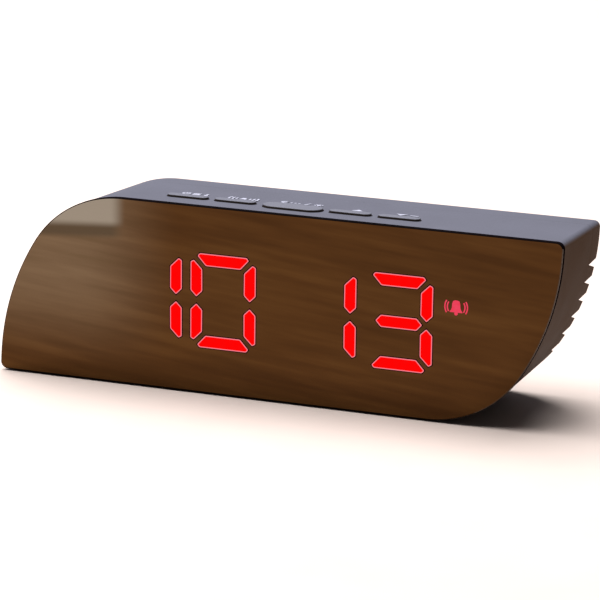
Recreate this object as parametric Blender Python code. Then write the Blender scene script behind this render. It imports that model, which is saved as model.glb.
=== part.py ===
"""Digital alarm clock with a leaf-shaped mirror front, modelled as its separate parts.

X runs to the right of somebody facing the clock, Y from the front to the rear, Z up.
The origin is under the middle of the clock, level with the underside of its feet.
Every size below is in millimetres; MM turns it into Blender's metres.
"""
from math import acos, cos, pi, radians, sin

import bmesh
import bpy
from mathutils import Matrix, Vector

MM = 0.001

# Overall size and outline
WIDTH = 165.0
HEIGHT = 53.8
DEPTH = 38.3
FOOT_LIFT = 0.5          # how far the feet hold the case off the table
SMALL_CORNER = 2.0       # lower left and upper right
ARC_SIDE_R = 72.0        # large corner, where it leaves the side
ARC_TOP_R = 31.4         # large corner, where it meets the top
ARC_SPLIT = radians(58.0)  # slope at which one radius takes over from the other
ARC_STEPS = 9
REAR_LEFT = 79.6         # reach of the outline at the rear, left and right of the middle
REAR_RIGHT = 82.1
REAR_TOP_DROP = 2.2      # the top slopes down towards the rear
GAP = 0.3                # running clearance between neighbours

# Shells
PANEL_THICK = 2.0
WALL = 2.0
SHELL_INSET = 0.2        # the case stands this far inside the front panel's edge
FRONT_WALL = 1.8
LOUVRE_DEPTH = 8.0
SPIGOT = 2.3             # length of the cover that enters the case

# Display
DIGIT_Z = 27.15
DIGIT_X = (-36.41, -14.44, 14.93, 36.90)
COLON_X = 0.25
COLON_OFFSET = 4.8
ALARM_X = 53.3
ALARM_Z = 32.8
ALARM_SIZE = (6.8, 3.9)
SEG_WIDE = 3.4           # width of a segment
SEG_SIDE_X = 7.87        # centre line of the upright segments
SEG_SIDE_Z = 6.14
SEG_SIDE_LONG = 10.6
SEG_TOP_Z = 11.77
SEG_TOP_LONG = 13.6
REFLECTOR_X = (-50.2, 58.8)
REFLECTOR_Z = (12.4, 41.9)
BOARD_X = (-56.5, 65.2)
BOARD_Z = (11.5, 42.8)
BOARD_SCREWS = ((-53.6, 17.0), (62.3, 38.0))

# Buttons: name, centre X, depth of the centre behind the front face, length, width
BUTTONS = (
    ("mode_button", -29.75, 11.6, 12.2, 3.2),
    ("alarm_button", -15.55, 11.6, 12.2, 3.2),
    ("snooze_button", 1.65, 11.2, 17.4, 6.9),
    ("up_button", 18.35, 11.6, 12.2, 3.2),
    ("down_button", 32.55, 11.6, 12.2, 3.2),
)
BUTTON_RISE = 0.5
BUTTON_TRAVEL = 0.5
FLANGE_Z = (49.6, 50.3)
FLANGE_OUT = 0.9
SWITCH_Z = (46.0, 48.9)
SWITCH_SIZE = 6.0
PLUNGER_Z = (47.2, 49.3)
PLUNGER_R = 1.2
KEY_BOARD_Z = (44.7, 45.7)
KEY_BOARD_X = (-41.0, 43.0)
KEY_BOARD_DEPTH = (6.95, 18.5)    # behind the front face
KEY_SCREWS = (-37.5, 40.0)
KEY_SCREW_DEPTH = 16.3

# Rear cover, battery bay and power inlet
FLAT_HALF = 52.0         # half width of the plain middle between the louvres
LOUVRES = 6
LOUVRE_TOP = 37.95       # lower lip of the uppermost louvre
LOUVRE_PITCH = 5.07
LOUVRE_MOUTH = 2.8
LOUVRE_ROOT = 2.45       # height of the root above the lower lip
LOUVRE_WEB = 0.4         # material left between a root and the case
COVER_SCREWS = [(x, z) for x in (-46.5, 46.5) for z in (6.4, 46.4)]
BOSS_R = 2.6
SCREW_HOLE_R = 1.3
WELL_R = 2.7
WELL_FLOOR = 0.9         # material under a screw head
BAY_X = 27.0
BAY_Z = (10.3, 43.3)
BAY_WALL = 1.5
BAY_FLOOR = 6.0
CELL_R = 5.25
CELL_LONG = 44.5
CELL_PITCH = 10.85
CELL_Y = 11.6
DOOR_HALF = 29.0
DOOR_Z = (8.1, 45.8)
DOOR_THICK = 1.8
DOOR_AXIS_Z = 45.2
TONGUE_X = 17.0
TONGUE_HALF = 3.0
INLET_X = 40.0
INLET_Z = 27.0
INLET_SIZE = (7.9, 3.1)
INLET_WALL = 0.35
INLET_Y = (13.2, 18.9)
POCKET_X = (31.0, 50.0)
POCKET_Z = (11.0, 43.0)
LATCH_HALF = 4.0         # half width of the hook that holds the door shut
LATCH_Z = (7.3, 10.0)
TONGUE_Z = (44.3, 47.8)
SCOOP_R = 4.0            # finger scoop under the door
SCOOP_HALF = 7.0
SCOOP_Z = 6.6

FEET = [(x, y) for x in (-70.0, 36.0) for y in (-10.0, 6.0)]
FOOT_R = 4.0
FOOT_TALL = 1.5

FRONT = -DEPTH / 2
REAR = DEPTH / 2
CASE_FRONT = FRONT + PANEL_THICK + GAP
COVER_FRONT = REAR - LOUVRE_DEPTH
CASE_REAR = COVER_FRONT - GAP
CASE_IN = SHELL_INSET + WALL
REFLECTOR_Y = (CASE_FRONT, CASE_FRONT + 4.0)
GUIDE_Y = (REFLECTOR_Y[1] + GAP, REFLECTOR_Y[1] + GAP + 0.8)
BOARD_Y = (GUIDE_Y[1] + 0.85, GUIDE_Y[1] + 2.05)
CHIP_Y = BOARD_Y[1] + GAP
DOOR_Y = (REAR - DOOR_THICK, REAR)
DOOR_AXIS_Y = REAR - DOOR_THICK / 2

COLOURS = {
    "mirror_acrylic": ((0.10, 0.035, 0.012), 0.06, 0.6),
    "case_plastic": ((0.05, 0.045, 0.043), 0.5, 0.0),
    "button_plastic": ((0.05, 0.046, 0.044), 0.45, 0.0),
    "black_plastic": ((0.02, 0.02, 0.02), 0.6, 0.0),
    "white_guide": ((0.85, 0.8, 0.78), 0.4, 0.0),
    "circuit_board": ((0.02, 0.12, 0.05), 0.5, 0.0),
    "foam_tape": ((0.03, 0.03, 0.03), 0.9, 0.0),
    "steel": ((0.55, 0.55, 0.56), 0.3, 1.0),
    "battery_wrap": ((0.03, 0.05, 0.12), 0.35, 0.0),
    "red_wire": ((0.5, 0.02, 0.02), 0.5, 0.0),
    "black_wire": ((0.015, 0.015, 0.015), 0.5, 0.0),
    "grey_wire": ((0.35, 0.35, 0.36), 0.5, 0.0),
    "foot_rubber": ((0.03, 0.03, 0.03), 0.9, 0.0),
}


def clear_scene():
    for item in list(bpy.data.objects):
        bpy.data.objects.remove(item, do_unlink=True)


def material(name):
    found = bpy.data.materials.get(name)
    if found:
        return found
    colour, roughness, metallic = COLOURS[name]
    made = bpy.data.materials.new(name)
    made.use_nodes = True
    shader = made.node_tree.nodes["Principled BSDF"]
    shader.inputs["Base Color"].default_value = (*colour, 1.0)
    shader.inputs["Roughness"].default_value = roughness
    shader.inputs["Metallic"].default_value = metallic
    return made


def add_object(name, mesh, finish, place=(0.0, 0.0, 0.0), parent=None):
    """Place a mesh as a named part; place is in millimetres, measured from the parent."""
    item = bpy.data.objects.new(name, mesh)
    bpy.context.collection.objects.link(item)
    item.location = Vector(place) * MM
    item.parent = parent
    if finish:
        mesh.materials.append(material(finish))
    return item


def mesh_from(name, points, faces):
    """A closed mesh from points in millimetres, with its faces turned outwards."""
    work = bmesh.new()
    corners = [work.verts.new(Vector(point) * MM) for point in points]
    for face in faces:
        work.faces.new([corners[index] for index in face])
    bmesh.ops.recalc_face_normals(work, faces=work.faces)
    mesh = bpy.data.meshes.new(name)
    work.to_mesh(mesh)
    work.free()
    return mesh


def skin(name, rings, closed=False):
    """Join rings of equal length with quads, and cap the two ends unless they meet."""
    count = len(rings[0])
    points = [point for ring in rings for point in ring]
    faces = []
    for row in range(len(rings) if closed else len(rings) - 1):
        here = row * count
        there = (row + 1) % len(rings) * count
        for step in range(count):
            after = (step + 1) % count
            faces.append((here + step, here + after, there + after, there + step))
    if not closed:
        faces.append(tuple(range(count)))
        faces.append(tuple(range(len(points) - count, len(points))))
    return mesh_from(name, points, faces)


def slab(name, outline, low, high, axis="Z"):
    """Extrude a flat outline from low to high along an axis.

    The outline's two numbers are X and Z for Y, X and Y for Z, and Y and Z for X.
    """
    place = {
        "X": lambda a, b, c: (c, a, b),
        "Y": lambda a, b, c: (a, c, b),
        "Z": lambda a, b, c: (a, b, c),
    }[axis]
    rings = [[place(a, b, level) for a, b in outline] for level in (low, high)]
    return skin(name, rings)


def block(name, x, y, z):
    outline = ((x[0], y[0]), (x[1], y[0]), (x[1], y[1]), (x[0], y[1]))
    return slab(name, outline, z[0], z[1])


def circle(radius, steps=20, centre=(0.0, 0.0)):
    turn = [2 * pi * step / steps for step in range(steps)]
    return [(centre[0] + radius * cos(a), centre[1] + radius * sin(a)) for a in turn]


def pill(length, width, steps=8, centre=(0.0, 0.0)):
    """A stadium outline with half-round ends."""
    radius = width / 2
    points = []
    for side in (1, -1):
        for step in range(steps + 1):
            a = -pi / 2 + pi * step / steps
            reach = length / 2 - radius + radius * cos(a)
            points.append((centre[0] + side * reach, centre[1] + side * radius * sin(a)))
    return points


def turned(name, profile, axis="Z", steps=20):
    """Turn a profile of (radius, height) pairs about an axis; both ends are flat."""
    rings = []
    for radius, level in profile:
        ring = circle(radius, steps)
        if axis == "X":
            rings.append([(level, a, b) for a, b in ring])
        elif axis == "Y":
            rings.append([(a, level, b) for a, b in ring])
        else:
            rings.append([(a, b, level) for a, b in ring])
    mesh = skin(name, rings)
    mesh.shade_smooth()
    mesh.set_sharp_from_angle(angle=radians(35))
    return mesh


def joined(name, meshes):
    """Several closed meshes in one, used as a cutter or for a union."""
    work = bmesh.new()
    for mesh in meshes:
        work.from_mesh(mesh)
        bpy.data.meshes.remove(mesh)
    result = bpy.data.meshes.new(name)
    work.to_mesh(result)
    work.free()
    return result


def combine(target, mesh, operation="DIFFERENCE"):
    """Cut a mesh out of a part, or add it, with a hidden tool that shares its place."""
    tool = add_object(f"{target.name}_{mesh.name}", mesh, None, parent=target.parent)
    tool.location = target.location
    tool.hide_render = True
    tool.display_type = "WIRE"
    modifier = target.modifiers.new(mesh.name, "BOOLEAN")
    modifier.object = tool
    modifier.operation = operation
    modifier.solver = "EXACT"


def leaf(inset):
    """The clock's outline as (x, z), pulled in by inset, clockwise from the lower left.

    Two opposite corners are large two-radius curves and the other two are small.
    The second half is the first turned half a turn about the middle.
    """
    half_width = WIDTH / 2 - inset
    half_height = (HEIGHT - FOOT_LIFT) / 2 - inset
    small = max(SMALL_CORNER - inset, 0.3)
    side_r = ARC_SIDE_R - inset
    top_r = ARC_TOP_R - inset
    tall = side_r * cos(ARC_SPLIT) + top_r * (1 - cos(ARC_SPLIT))
    foot = half_height - tall
    start = acos((small - half_height - foot) / side_r)
    half = []
    for step in range(ARC_STEPS + 1):
        a = start + (ARC_SPLIT - start) * step / ARC_STEPS
        half.append((-half_width + side_r * (1 - sin(a)), foot + side_r * cos(a)))
    turn_x = half[-1][0] + top_r * sin(ARC_SPLIT)
    for step in range(1, ARC_STEPS + 1):
        a = ARC_SPLIT * (1 - step / ARC_STEPS)
        half.append((turn_x - top_r * sin(a), half_height - top_r * (1 - cos(a))))
    for step in range(4):
        a = pi / 2 * (1 - step / 3)
        half.append((half_width - small * (1 - cos(a)), half_height - small * (1 - sin(a))))
    middle = (HEIGHT + FOOT_LIFT) / 2
    return [(s * x, middle + s * z) for s in (1, -1) for x, z in half]


def section(inset, y):
    """The outline at depth y, where the case is a little narrower and lower."""
    back = (y - FRONT) / DEPTH
    left = 1 - back * (1 - REAR_LEFT / (WIDTH / 2))
    right = 1 - back * (1 - REAR_RIGHT / (WIDTH / 2))
    lower = 1 - back * REAR_TOP_DROP / (HEIGHT - FOOT_LIFT)
    return [(x * (left if x < 0 else right), y, FOOT_LIFT + (z - FOOT_LIFT) * lower)
            for x, z in leaf(inset)]


def shell(name, steps):
    """A solid that follows the outline through (inset, y) steps."""
    return skin(name, [section(inset, y) for inset, y in steps])


def frame_ring(name, outer, inner, y):
    """A flat frame between two insets of the outline."""
    rings = [section(outer, y[0]), section(outer, y[1])]
    rings += [section(inner, y[1]), section(inner, y[0])]
    return skin(name, rings, closed=True)


def top_height(y):
    """Height of the sloping top at depth y."""
    return HEIGHT - REAR_TOP_DROP * (y - FRONT) / DEPTH


def segments():
    """Outlines of the seven segments about a digit's middle, a to g, as (x, z)."""
    half = SEG_WIDE / 2
    long = SEG_SIDE_LONG / 2
    flat = SEG_TOP_LONG / 2

    def upright(side, level):
        tips = ((0, long), (half, long - half), (half, half - long))
        points = tips + tuple((-x, -z) for x, z in tips)
        return [(side * SEG_SIDE_X + x, level * SEG_SIDE_Z + z) for x, z in points]

    def end_bar(level):
        points = ((-flat, half), (flat, half), (flat - half, -half), (half - flat, -half))
        return [(x, level * (SEG_TOP_Z + z)) for x, z in points]

    tips = ((flat, 0), (flat - half, -half), (half - flat, -half))
    middle = tips + tuple((-x, -z) for x, z in tips)
    return [end_bar(1), upright(1, 1), upright(1, -1), end_bar(-1), upright(-1, -1),
            upright(-1, 1), list(middle)]


def grown(outline, amount):
    """An outline pushed outwards from its own middle by about the given amount."""
    cx = (min(x for x, _ in outline) + max(x for x, _ in outline)) / 2
    cz = (min(z for _, z in outline) + max(z for _, z in outline)) / 2
    wide = max(x for x, _ in outline) - cx
    tall = max(z for _, z in outline) - cz
    return [(cx + (x - cx) * (1 + amount / wide), cz + (z - cz) * (1 + amount / tall))
            for x, z in outline]


def shifted(outline, x, z):
    return [(a + x, b + z) for a, b in outline]


def light_windows():
    """Every lit shape of the display as (outline, group); the group is its light guide."""
    shapes = []
    for number, x in enumerate(DIGIT_X, start=1):
        shapes += [(shifted(one, x, DIGIT_Z), f"digit_guide_{number}") for one in segments()]
    for side in (-1, 1):
        dot = circle(1.2, 10, (COLON_X, DIGIT_Z + side * COLON_OFFSET))
        shapes.append((dot, "colon_guide"))
    half_x = ALARM_SIZE[0] / 2
    half_z = ALARM_SIZE[1] / 2
    mark = ((-half_x, -half_z), (half_x, -half_z), (half_x, half_z), (-half_x, half_z))
    shapes.append((shifted(mark, ALARM_X, ALARM_Z), "alarm_guide"))
    return shapes


def build_front(parent):
    edge = 0.35
    panel = shell("front_panel", [(edge, FRONT), (0.0, FRONT + edge),
                                  (0.0, FRONT + PANEL_THICK)])
    add_object("front_panel", panel, "mirror_acrylic", parent=parent)
    tape = frame_ring("panel_tape", 1.6, 4.4, (CASE_FRONT, CASE_FRONT + 0.5))
    add_object("panel_tape", tape, "foam_tape", parent=parent)


def build_case(parent):
    """The tub that carries everything: front wall with a window, sides and posts."""
    chamfer = 0.3
    body = shell("main_housing", [(SHELL_INSET + chamfer, CASE_FRONT),
                                  (SHELL_INSET, CASE_FRONT + chamfer),
                                  (SHELL_INSET, CASE_REAR)])
    case = add_object("main_housing", body, "case_plastic", parent=parent)
    inner_y = CASE_FRONT + FRONT_WALL
    combine(case, shell("hollow", [(CASE_IN, inner_y), (CASE_IN, CASE_REAR + 2)]))
    posts = []
    pilots = []
    for x, z in COVER_SCREWS:
        posts.append(slab("boss", circle(BOSS_R, 16, (x, z)), inner_y - 0.5, CASE_REAR - 2.3, "Y"))
        pilots.append(slab("pilot", circle(SCREW_HOLE_R, 12, (x, z)), -2.0, CASE_REAR, "Y"))
    for x, z in BOARD_SCREWS:
        stop = BOARD_Y[0] - GAP
        posts.append(slab("boss", circle(2.0, 16, (x, z)), inner_y - 0.5, stop, "Y"))
        pilots.append(slab("pilot", circle(1.0, 12, (x, z)), inner_y + 0.3, stop + 1, "Y"))
    for x in KEY_SCREWS:
        spot = (x, FRONT + KEY_SCREW_DEPTH)
        low = KEY_BOARD_Z[1] + GAP
        posts.append(slab("boss", circle(1.9, 16, spot), low, top_height(spot[1]) - WALL / 2))
        pilots.append(slab("pilot", circle(1.0, 12, spot), low - 1, low + 3.6))
    combine(case, joined("posts", posts), "UNION")
    window = block("window", (REFLECTOR_X[0] - GAP, REFLECTOR_X[1] + GAP),
                   (CASE_FRONT - 1, inner_y + 0.2),
                   (REFLECTOR_Z[0] - GAP, REFLECTOR_Z[1] + GAP))
    rebate = frame_ring("rebate", 1.3, 4.7, (CASE_FRONT - 1, CASE_FRONT + 0.8))
    recesses = [slab("seat", circle(FOOT_R + GAP, 20, spot), -1, FOOT_TALL + GAP) for spot in FEET]
    holes = [slab("slot", pill(long + 2 * GAP, wide + 2 * GAP, 8, (x, FRONT + deep)),
                  KEY_BOARD_Z[1] + 2, HEIGHT + 3) for _, x, deep, long, wide in BUTTONS]
    combine(case, joined("openings", [window, rebate] + recesses + holes + pilots))
    for number, (x, y) in enumerate(FEET, start=1):
        profile = [(FOOT_R - 0.4, 0.0), (FOOT_R, 0.4), (FOOT_R, FOOT_TALL)]
        add_object(f"foot_{number}", turned("foot", profile), "foot_rubber", (x, y, 0), parent)


def screw(name, place, axis, direction, length, shank, parent):
    """A pan-head screw whose head's underside is at place; it points along direction."""
    head = shank * 2.1
    levels = [(head, -1.0), (head, -0.4), (shank, -0.02), (shank, length - 1.0)]
    levels.append((shank * 0.35, length))
    profile = [(head * 0.8, -1.35)] + levels
    turned_profile = [(radius, level * direction) for radius, level in profile]
    item = add_object(name, turned(name, turned_profile, axis, 14), "steel", place, parent)
    arm = shank * 1.15
    reach = (-1.5 * direction, -0.75 * direction)
    span = (min(reach), max(reach))
    thin = shank * 0.25
    outline = ((arm, thin), (thin, thin), (thin, arm), (-thin, arm), (-thin, thin), (-arm, thin),
               (-arm, -thin), (-thin, -thin), (-thin, -arm), (thin, -arm), (thin, -thin),
               (arm, -thin))
    combine(item, slab("cross", outline, span[0], span[1], axis))


def build_display(parent):
    shapes = light_windows()
    plate = block("reflector", REFLECTOR_X, REFLECTOR_Y, REFLECTOR_Z)
    grid = add_object("display_reflector", plate, "black_plastic", parent=parent)
    cells = [slab("cell", grown(one, GAP), REFLECTOR_Y[0] - 1, REFLECTOR_Y[1] + 1, "Y")
             for one, _ in shapes]
    combine(grid, joined("cells", cells))
    bases = {f"digit_guide_{n}": (x, DIGIT_Z, 10.6, 14.5) for n, x in enumerate(DIGIT_X, 1)}
    bases["colon_guide"] = (COLON_X, DIGIT_Z, 3.4, 8.0)
    bases["alarm_guide"] = (ALARM_X, ALARM_Z, 4.5, 4.0)
    for name, (x, z, half_x, half_z) in bases.items():
        base = block("base", (x - half_x, x + half_x), GUIDE_Y, (z - half_z, z + half_z))
        guide = add_object(name, base, "white_guide", parent=parent)
        raised = [slab("raised", one, REFLECTOR_Y[0], GUIDE_Y[0] + 0.4, "Y")
                  for one, group in shapes if group == name]
        combine(guide, joined("raised", raised), "UNION")
    plate = block("board", BOARD_X, BOARD_Y, BOARD_Z)
    board = add_object("display_board", plate, "circuit_board", parent=parent)
    lamps = []
    for outline, _ in shapes:
        x = sum(point[0] for point in outline) / len(outline)
        z = sum(point[1] for point in outline) / len(outline)
        lamps.append(block("lamp", (x - 0.8, x + 0.8), (BOARD_Y[0] - 0.5, BOARD_Y[0] + 0.4),
                           (z - 0.6, z + 0.6)))
    combine(board, joined("lamps", lamps), "UNION")
    holes = [slab("hole", circle(1.3, 12, spot), BOARD_Y[0] - 1, BOARD_Y[1] + 1, "Y")
             for spot in BOARD_SCREWS]
    combine(board, joined("holes", holes))
    for number, (x, z) in enumerate(BOARD_SCREWS, start=1):
        place = (x, BOARD_Y[1] + GAP, z)
        screw(f"display_screw_{number}", place, "Y", -1, 3.6, 0.7, parent)
    chip = slab("chip", ((-5, -5), (5, -5), (5, 5), (-4, 5), (-5, 4)), 0, 1.6, "Y")
    add_object("controller_chip", chip, "black_plastic", (-20, CHIP_Y, 27), parent)
    crystal = slab("crystal", pill(10.4, 4.4, 6), 0, 3.6, "Y")
    add_object("clock_crystal", crystal, "steel", (-38, CHIP_Y, 31), parent)
    profile = [(6.0, 0.0), (6.0, 6.1), (5.6, 6.5)]
    buzzer = turned("buzzer", profile, "Y", 24)
    item = add_object("alarm_buzzer", buzzer, "black_plastic", (34, CHIP_Y, 28), parent)
    combine(item, slab("sound_hole", circle(1.0, 12), 4.5, 8, "Y"))


def build_button(name, x, y, long, wide, parent):
    """A pill-shaped key with a retaining flange; its rest place is the empty's origin."""
    guide = bpy.data.objects.new(f"{name}_travel", None)
    bpy.context.collection.objects.link(guide)
    guide.location = Vector((x, y, 0)) * MM
    guide.parent = parent
    edge = 0.25
    rise = top_height(y) + BUTTON_RISE
    tilt = REAR_TOP_DROP / DEPTH
    flange = pill(long + 2 * FLANGE_OUT, wide + 2 * FLANGE_OUT)
    face = pill(long, wide)
    rings = [[(a, b, FLANGE_Z[0]) for a, b in flange], [(a, b, FLANGE_Z[1]) for a, b in flange]]
    rings.append([(a, b, FLANGE_Z[1]) for a, b in face])
    rings.append([(a, b, rise - edge - b * tilt) for a, b in face])
    rings.append([(a, b, rise - b * tilt) for a, b in pill(long - 2 * edge, wide - 2 * edge)])
    add_object(name, skin(name, rings), "button_plastic", parent=guide)
    number = [entry[0] for entry in BUTTONS].index(name) + 1
    profile = [(PLUNGER_R, PLUNGER_Z[0]), (PLUNGER_R, PLUNGER_Z[1])]
    add_object(f"switch_plunger_{number}", turned("plunger", profile, steps=14),
               "black_plastic", parent=guide)
    half = SWITCH_SIZE / 2
    body = block("switch", (-half, half), (-half, half), SWITCH_Z)
    switch = add_object(f"switch_body_{number}", body, "steel", (x, y, 0), parent)
    floor = PLUNGER_Z[0] - BUTTON_TRAVEL - 0.15
    combine(switch, slab("well", circle(PLUNGER_R + GAP, 14), floor, SWITCH_Z[1] + 1))


def build_keys(parent):
    for name, x, deep, long, wide in BUTTONS:
        build_button(name, x, FRONT + deep, long, wide, parent)
    y = tuple(FRONT + deep for deep in KEY_BOARD_DEPTH)
    board = block("key_board", KEY_BOARD_X, y, KEY_BOARD_Z)
    board = add_object("button_board", board, "circuit_board", parent=parent)
    row = FRONT + KEY_SCREW_DEPTH
    holes = [slab("hole", circle(1.2, 12, (x, row)), KEY_BOARD_Z[0] - 1, KEY_BOARD_Z[1] + 1)
             for x in KEY_SCREWS]
    combine(board, joined("holes", holes))
    for number, x in enumerate(KEY_SCREWS, start=1):
        place = (x, row, KEY_BOARD_Z[0] - GAP)
        screw(f"button_board_screw_{number}", place, "Z", 1, 4.6, 0.7, parent)


def louvres():
    """V-shaped grooves across both ends of the cover, open to the rear and the side."""
    root = COVER_FRONT + LOUVRE_WEB
    out = REAR + 1
    over = (out - root) / (REAR - root)
    cutters = []
    for number in range(LOUVRES):
        lip = LOUVRE_TOP - number * LOUVRE_PITCH
        top = lip + LOUVRE_ROOT + (LOUVRE_MOUTH - LOUVRE_ROOT) * over
        profile = ((root, lip + LOUVRE_ROOT), (out, top), (out, lip + LOUVRE_ROOT * (1 - over)))
        for side in (-1, 1):
            reach = sorted((side * FLAT_HALF, side * (WIDTH / 2 + 5)))
            cutters.append(slab("louvre", profile, reach[0], reach[1], "X"))
    return cutters


def build_cover(parent):
    """The rear cover: plain middle with the battery bay, louvred ends, screw wells."""
    body = shell("rear_cover", [(SHELL_INSET, COVER_FRONT), (SHELL_INSET, REAR - 0.8),
                                (SHELL_INSET + 0.25, REAR - 0.25), (SHELL_INSET + 0.8, REAR)])
    cover = add_object("rear_cover", body, "case_plastic", parent=parent)
    spigot_in = CASE_IN + GAP
    combine(cover, shell("spigot", [(spigot_in, COVER_FRONT - SPIGOT), (spigot_in, COVER_FRONT + 1)]),
            "UNION")
    outer = BAY_X + 2.0
    bay_box = block("bay_box", (-outer, outer), (BAY_FLOOR - BAY_WALL, COVER_FRONT + 1),
                    (BAY_Z[0] - BAY_WALL, BAY_Z[1] + BAY_WALL))
    combine(cover, bay_box, "UNION")
    skin_y = REAR - WALL
    cuts = [block("bay", (-BAY_X, BAY_X), (BAY_FLOOR, REAR + 1), BAY_Z)]
    cuts += louvres()
    for side in (-1, 1):
        reach = tuple(sorted((side * POCKET_X[0], side * POCKET_X[1])))
        cuts.append(block("pocket", reach, (COVER_FRONT - SPIGOT - 1, skin_y), POCKET_Z))
    for x, z in COVER_SCREWS:
        cuts.append(slab("well", circle(WELL_R, 16, (x, z)), COVER_FRONT + WELL_FLOOR, REAR + 1,
                         "Y"))
    combine(cover, joined("cuts", cuts))
    details = [block("seat", (-DOOR_HALF - GAP, DOOR_HALF + GAP), (DOOR_Y[0] - GAP, REAR + 1.5),
                     (DOOR_Z[0] - GAP, DOOR_Z[1] + 0.5))]
    for x, z in COVER_SCREWS:
        details.append(slab("hole", circle(SCREW_HOLE_R, 12, (x, z)), COVER_FRONT - SPIGOT - 2,
                            REAR, "Y"))
    half_x = INLET_SIZE[0] / 2 + GAP
    half_z = INLET_SIZE[1] / 2 + GAP
    details.append(block("inlet", (INLET_X - half_x, INLET_X + half_x), (skin_y - 1, REAR + 1.5),
                         (INLET_Z - half_z, INLET_Z + half_z)))
    combine(cover, joined("details", details))
    slots = []
    for side in (-1, 1):
        reach = (side * TONGUE_X - TONGUE_HALF - GAP, side * TONGUE_X + TONGUE_HALF + GAP)
        slots.append(block("slot", reach, (REAR - 3.45, REAR - 0.7), TONGUE_Z))
    room = LATCH_HALF + 0.4
    slots.append(block("latch", (-room, room), (REAR - 4.6, REAR + 2), LATCH_Z))
    for row, side in ((0, -1), (2, 1)):
        z = cell_z(row)
        reach = tuple(sorted((side * (BAY_X - 1), side * (outer + 1))))
        slots.append(block("tab", reach, (7.0, 8.4), (z - 1.8, z + 1.8)))
    combine(cover, joined("slots", slots))
    scoop = slab("scoop", circle(SCOOP_R, 16, (REAR + 2.4, SCOOP_Z)), -SCOOP_HALF, SCOOP_HALF, "X")
    combine(cover, scoop)
    for number, (x, z) in enumerate(COVER_SCREWS, start=1):
        place = (x, COVER_FRONT + WELL_FLOOR + GAP, z)
        screw(f"cover_screw_{number}", place, "Y", -1, 10.0, 1.0, parent)


def build_door(parent):
    hinge = bpy.data.objects.new("battery_door_hinge", None)
    bpy.context.collection.objects.link(hinge)
    hinge.location = Vector((0, DOOR_AXIS_Y, DOOR_AXIS_Z)) * MM
    hinge.parent = parent
    low_z = DOOR_Z[0] - DOOR_AXIS_Z
    high_z = DOOR_Z[1] - DOOR_AXIS_Z
    half = DOOR_THICK / 2
    plate = block("plate", (-DOOR_HALF, DOOR_HALF), (-half, half), (low_z, high_z))
    door = add_object("battery_door", plate, "case_plastic", parent=hinge)
    tongues = [block("tongue", (side * TONGUE_X - TONGUE_HALF, side * TONGUE_X + TONGUE_HALF),
                     (-half, -half + 0.8), (high_z - 0.5, high_z + 1.5)) for side in (-1, 1)]
    hook = block("hook", (-LATCH_HALF, LATCH_HALF), (-half - 1.9, -half + 0.5), (low_z + 0.3, low_z + 1.3))
    combine(door, joined("tongues", tongues + [hook]), "UNION")


def cell_z(row):
    return (BAY_Z[0] + BAY_Z[1]) / 2 + (row - 1) * CELL_PITCH


def coil(start, direction, length, radius, wire):
    """A tapering contact spring along X, as a closed tube."""
    turns = 2.5
    steps = 26
    path = []
    for step in range(steps + 1):
        part = step / steps
        a = 2 * pi * turns * part
        wide = radius * (1 - 0.35 * part)
        path.append((start[0] + direction * length * part, start[1] + wide * cos(a),
                     start[2] + wide * sin(a)))
    line = tube_curve("coil", path, wire, 1)
    item = bpy.data.objects.new("coil", line)
    mesh = bpy.data.meshes.new_from_object(item)
    bpy.data.objects.remove(item)
    bpy.data.curves.remove(line)
    return mesh


def tube_curve(name, path, radius, resolution=2):
    line = bpy.data.curves.new(name, "CURVE")
    line.dimensions = "3D"
    line.bevel_depth = radius * MM
    line.bevel_resolution = resolution
    line.use_fill_caps = True
    spline = line.splines.new("POLY")
    spline.points.add(len(path) - 1)
    for point, place in zip(spline.points, path):
        point.co = (*(Vector(place) * MM), 1.0)
    return line


def build_contact(name, side, spring_row, plate_row, parent, tab_row=None):
    """A strip at one end of the bay, with a spring for one cell and a pad for another."""
    rows = [row for row in (spring_row, plate_row) if row is not None]
    z = (min(cell_z(row) for row in rows) - 4, max(cell_z(row) for row in rows) + 4)
    near = side * (BAY_X - 0.8)
    far = side * (BAY_X - GAP)
    across = tuple(sorted((near, far)))
    strip = block("strip", across, (BAY_FLOOR + GAP, BAY_FLOOR + 9.0), z)
    item = add_object(name, strip, "steel", parent=parent)
    extra = []
    if tab_row is not None:
        level = cell_z(tab_row)
        reach = tuple(sorted((near + side * 0.1, side * (BAY_X + 3.2))))
        extra.append(block("tab", reach, (7.4, 8.0), (level - 1.4, level + 1.4)))
    if plate_row is not None:
        pad = [(2.6, near + side * 0.2), (1.6, near - side * 0.9)]
        if side < 0:
            pad = pad[::-1]
        mesh = turned("pad", pad, "X", 12)
        mesh.transform(Matrix.Translation(Vector((0, CELL_Y, cell_z(plate_row))) * MM))
        extra.append(mesh)
    if extra:
        combine(item, joined("extra", extra), "UNION")
    if spring_row is not None:
        start = (near + side * 0.15, CELL_Y, cell_z(spring_row))
        combine(item, coil(start, -side, 3.2, 3.2, 0.35), "UNION")


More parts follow.
